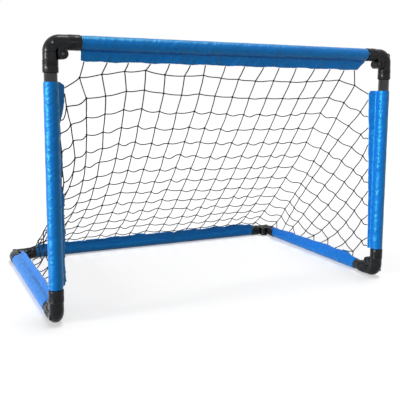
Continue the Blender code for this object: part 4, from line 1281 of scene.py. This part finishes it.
# %% Knot
KNOT_STEPS, KNOT_SIDES, KNOT_SIZE, KNOT_RADIUS = 16, 5, 1.75 * MM, 1.0 * MM


def trefoil(t):
    """A point of a pulled-tight overhand knot, at an angle round it."""
    x, y = math.sin(t) + 2 * math.sin(2 * t), math.cos(t) - 2 * math.cos(2 * t)
    return KNOT_SIZE * x / 3, KNOT_SIZE * y / 3, -KNOT_SIZE * 0.5 * math.sin(3 * t)


def looped(points, radius, sides):
    """A round tube along a closed path, as a mesh."""
    tangents = np.roll(points, -1, 0) - np.roll(points, 1, 0)
    bm, rings, across = bmesh.new(), [], Vector((0.13, 0.31, 0.94))
    angles = [2 * math.pi * side / sides for side in range(sides)]
    for point, tangent in zip(points, tangents):
        run = Vector(tangent).normalized()
        across = (across - run * across.dot(run)).normalized()
        other = run.cross(across)
        ring = [Vector(point) + (across * math.cos(a) + other * math.sin(a)) * radius for a in angles]
        rings.append([bm.verts.new(spot) for spot in ring])
    return joined_rings(bm, rings)


path = np.array([trefoil(2 * math.pi * step / KNOT_STEPS) for step in range(KNOT_STEPS)])
KNOT = linked("knot_shape", looped(path, KNOT_RADIUS, KNOT_SIDES))
KNOT.data.shade_smooth()
print("knot of", len(KNOT.data.polygons), "faces")

# %% Tie the net
# Frame: the sleeves whose hems it carries, and the least size of the knots there
HEMS = {
    "front_frame": (("crossbar", "left_post", "right_post"), 0.5),
    "base_frame": (("left_rail", "right_rail", "rear_rail"), 0.27),
}


def knots_at(points, **sizes):
    """Knots of twine at points, as a mesh."""
    mesh = bpy.data.meshes.new("places")
    mesh.from_pydata([tuple(point) for point in points], [], [])
    return grown(mesh, KNOT_TREE, Piece=KNOT, Twine=TWINE, **sizes)


def group_of(name):
    """The part of the net that a knot belongs to."""
    return name[: name.index("S")] if "S" in name else "back"


for group, node in (("back", "back_net"), ("left", "left_side_net"), ("right", "right_side_net")):
    lines = [HUNG[chain] for chain, strand_group in NET.strands if strand_group == group]
    spun = grown(line_mesh(lines), TWINE_TREE, Twine=TWINE)
    strands = add_piece(f"{group}_net_twine", spun, TWINE, stands_for=(node,))
    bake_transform(strands)
    free = [index for name, index in NET.names.items() if name not in NET.ties and group_of(name) == group]
    knots = add_piece(f"{group}_net_knots", knots_at(HUNG[free]), TWINE)
    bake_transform(knots)
    print(group, "net:", len(lines), "bars,", len(spun.polygons), "faces;", len(free), "knots")

for frame_name, (sleeves, size) in HEMS.items():
    tied = [NET.place(name) for name, sleeve in NET.ties.items() if sleeve in sleeves]
    add_piece(f"{frame_name}_hem_knots", knots_at(tied, Smallest=size, Largest=1.2 * size), TWINE, frame_name)
    print(frame_name, "holds", len(tied), "ties")
bpy.data.objects.remove(KNOT)
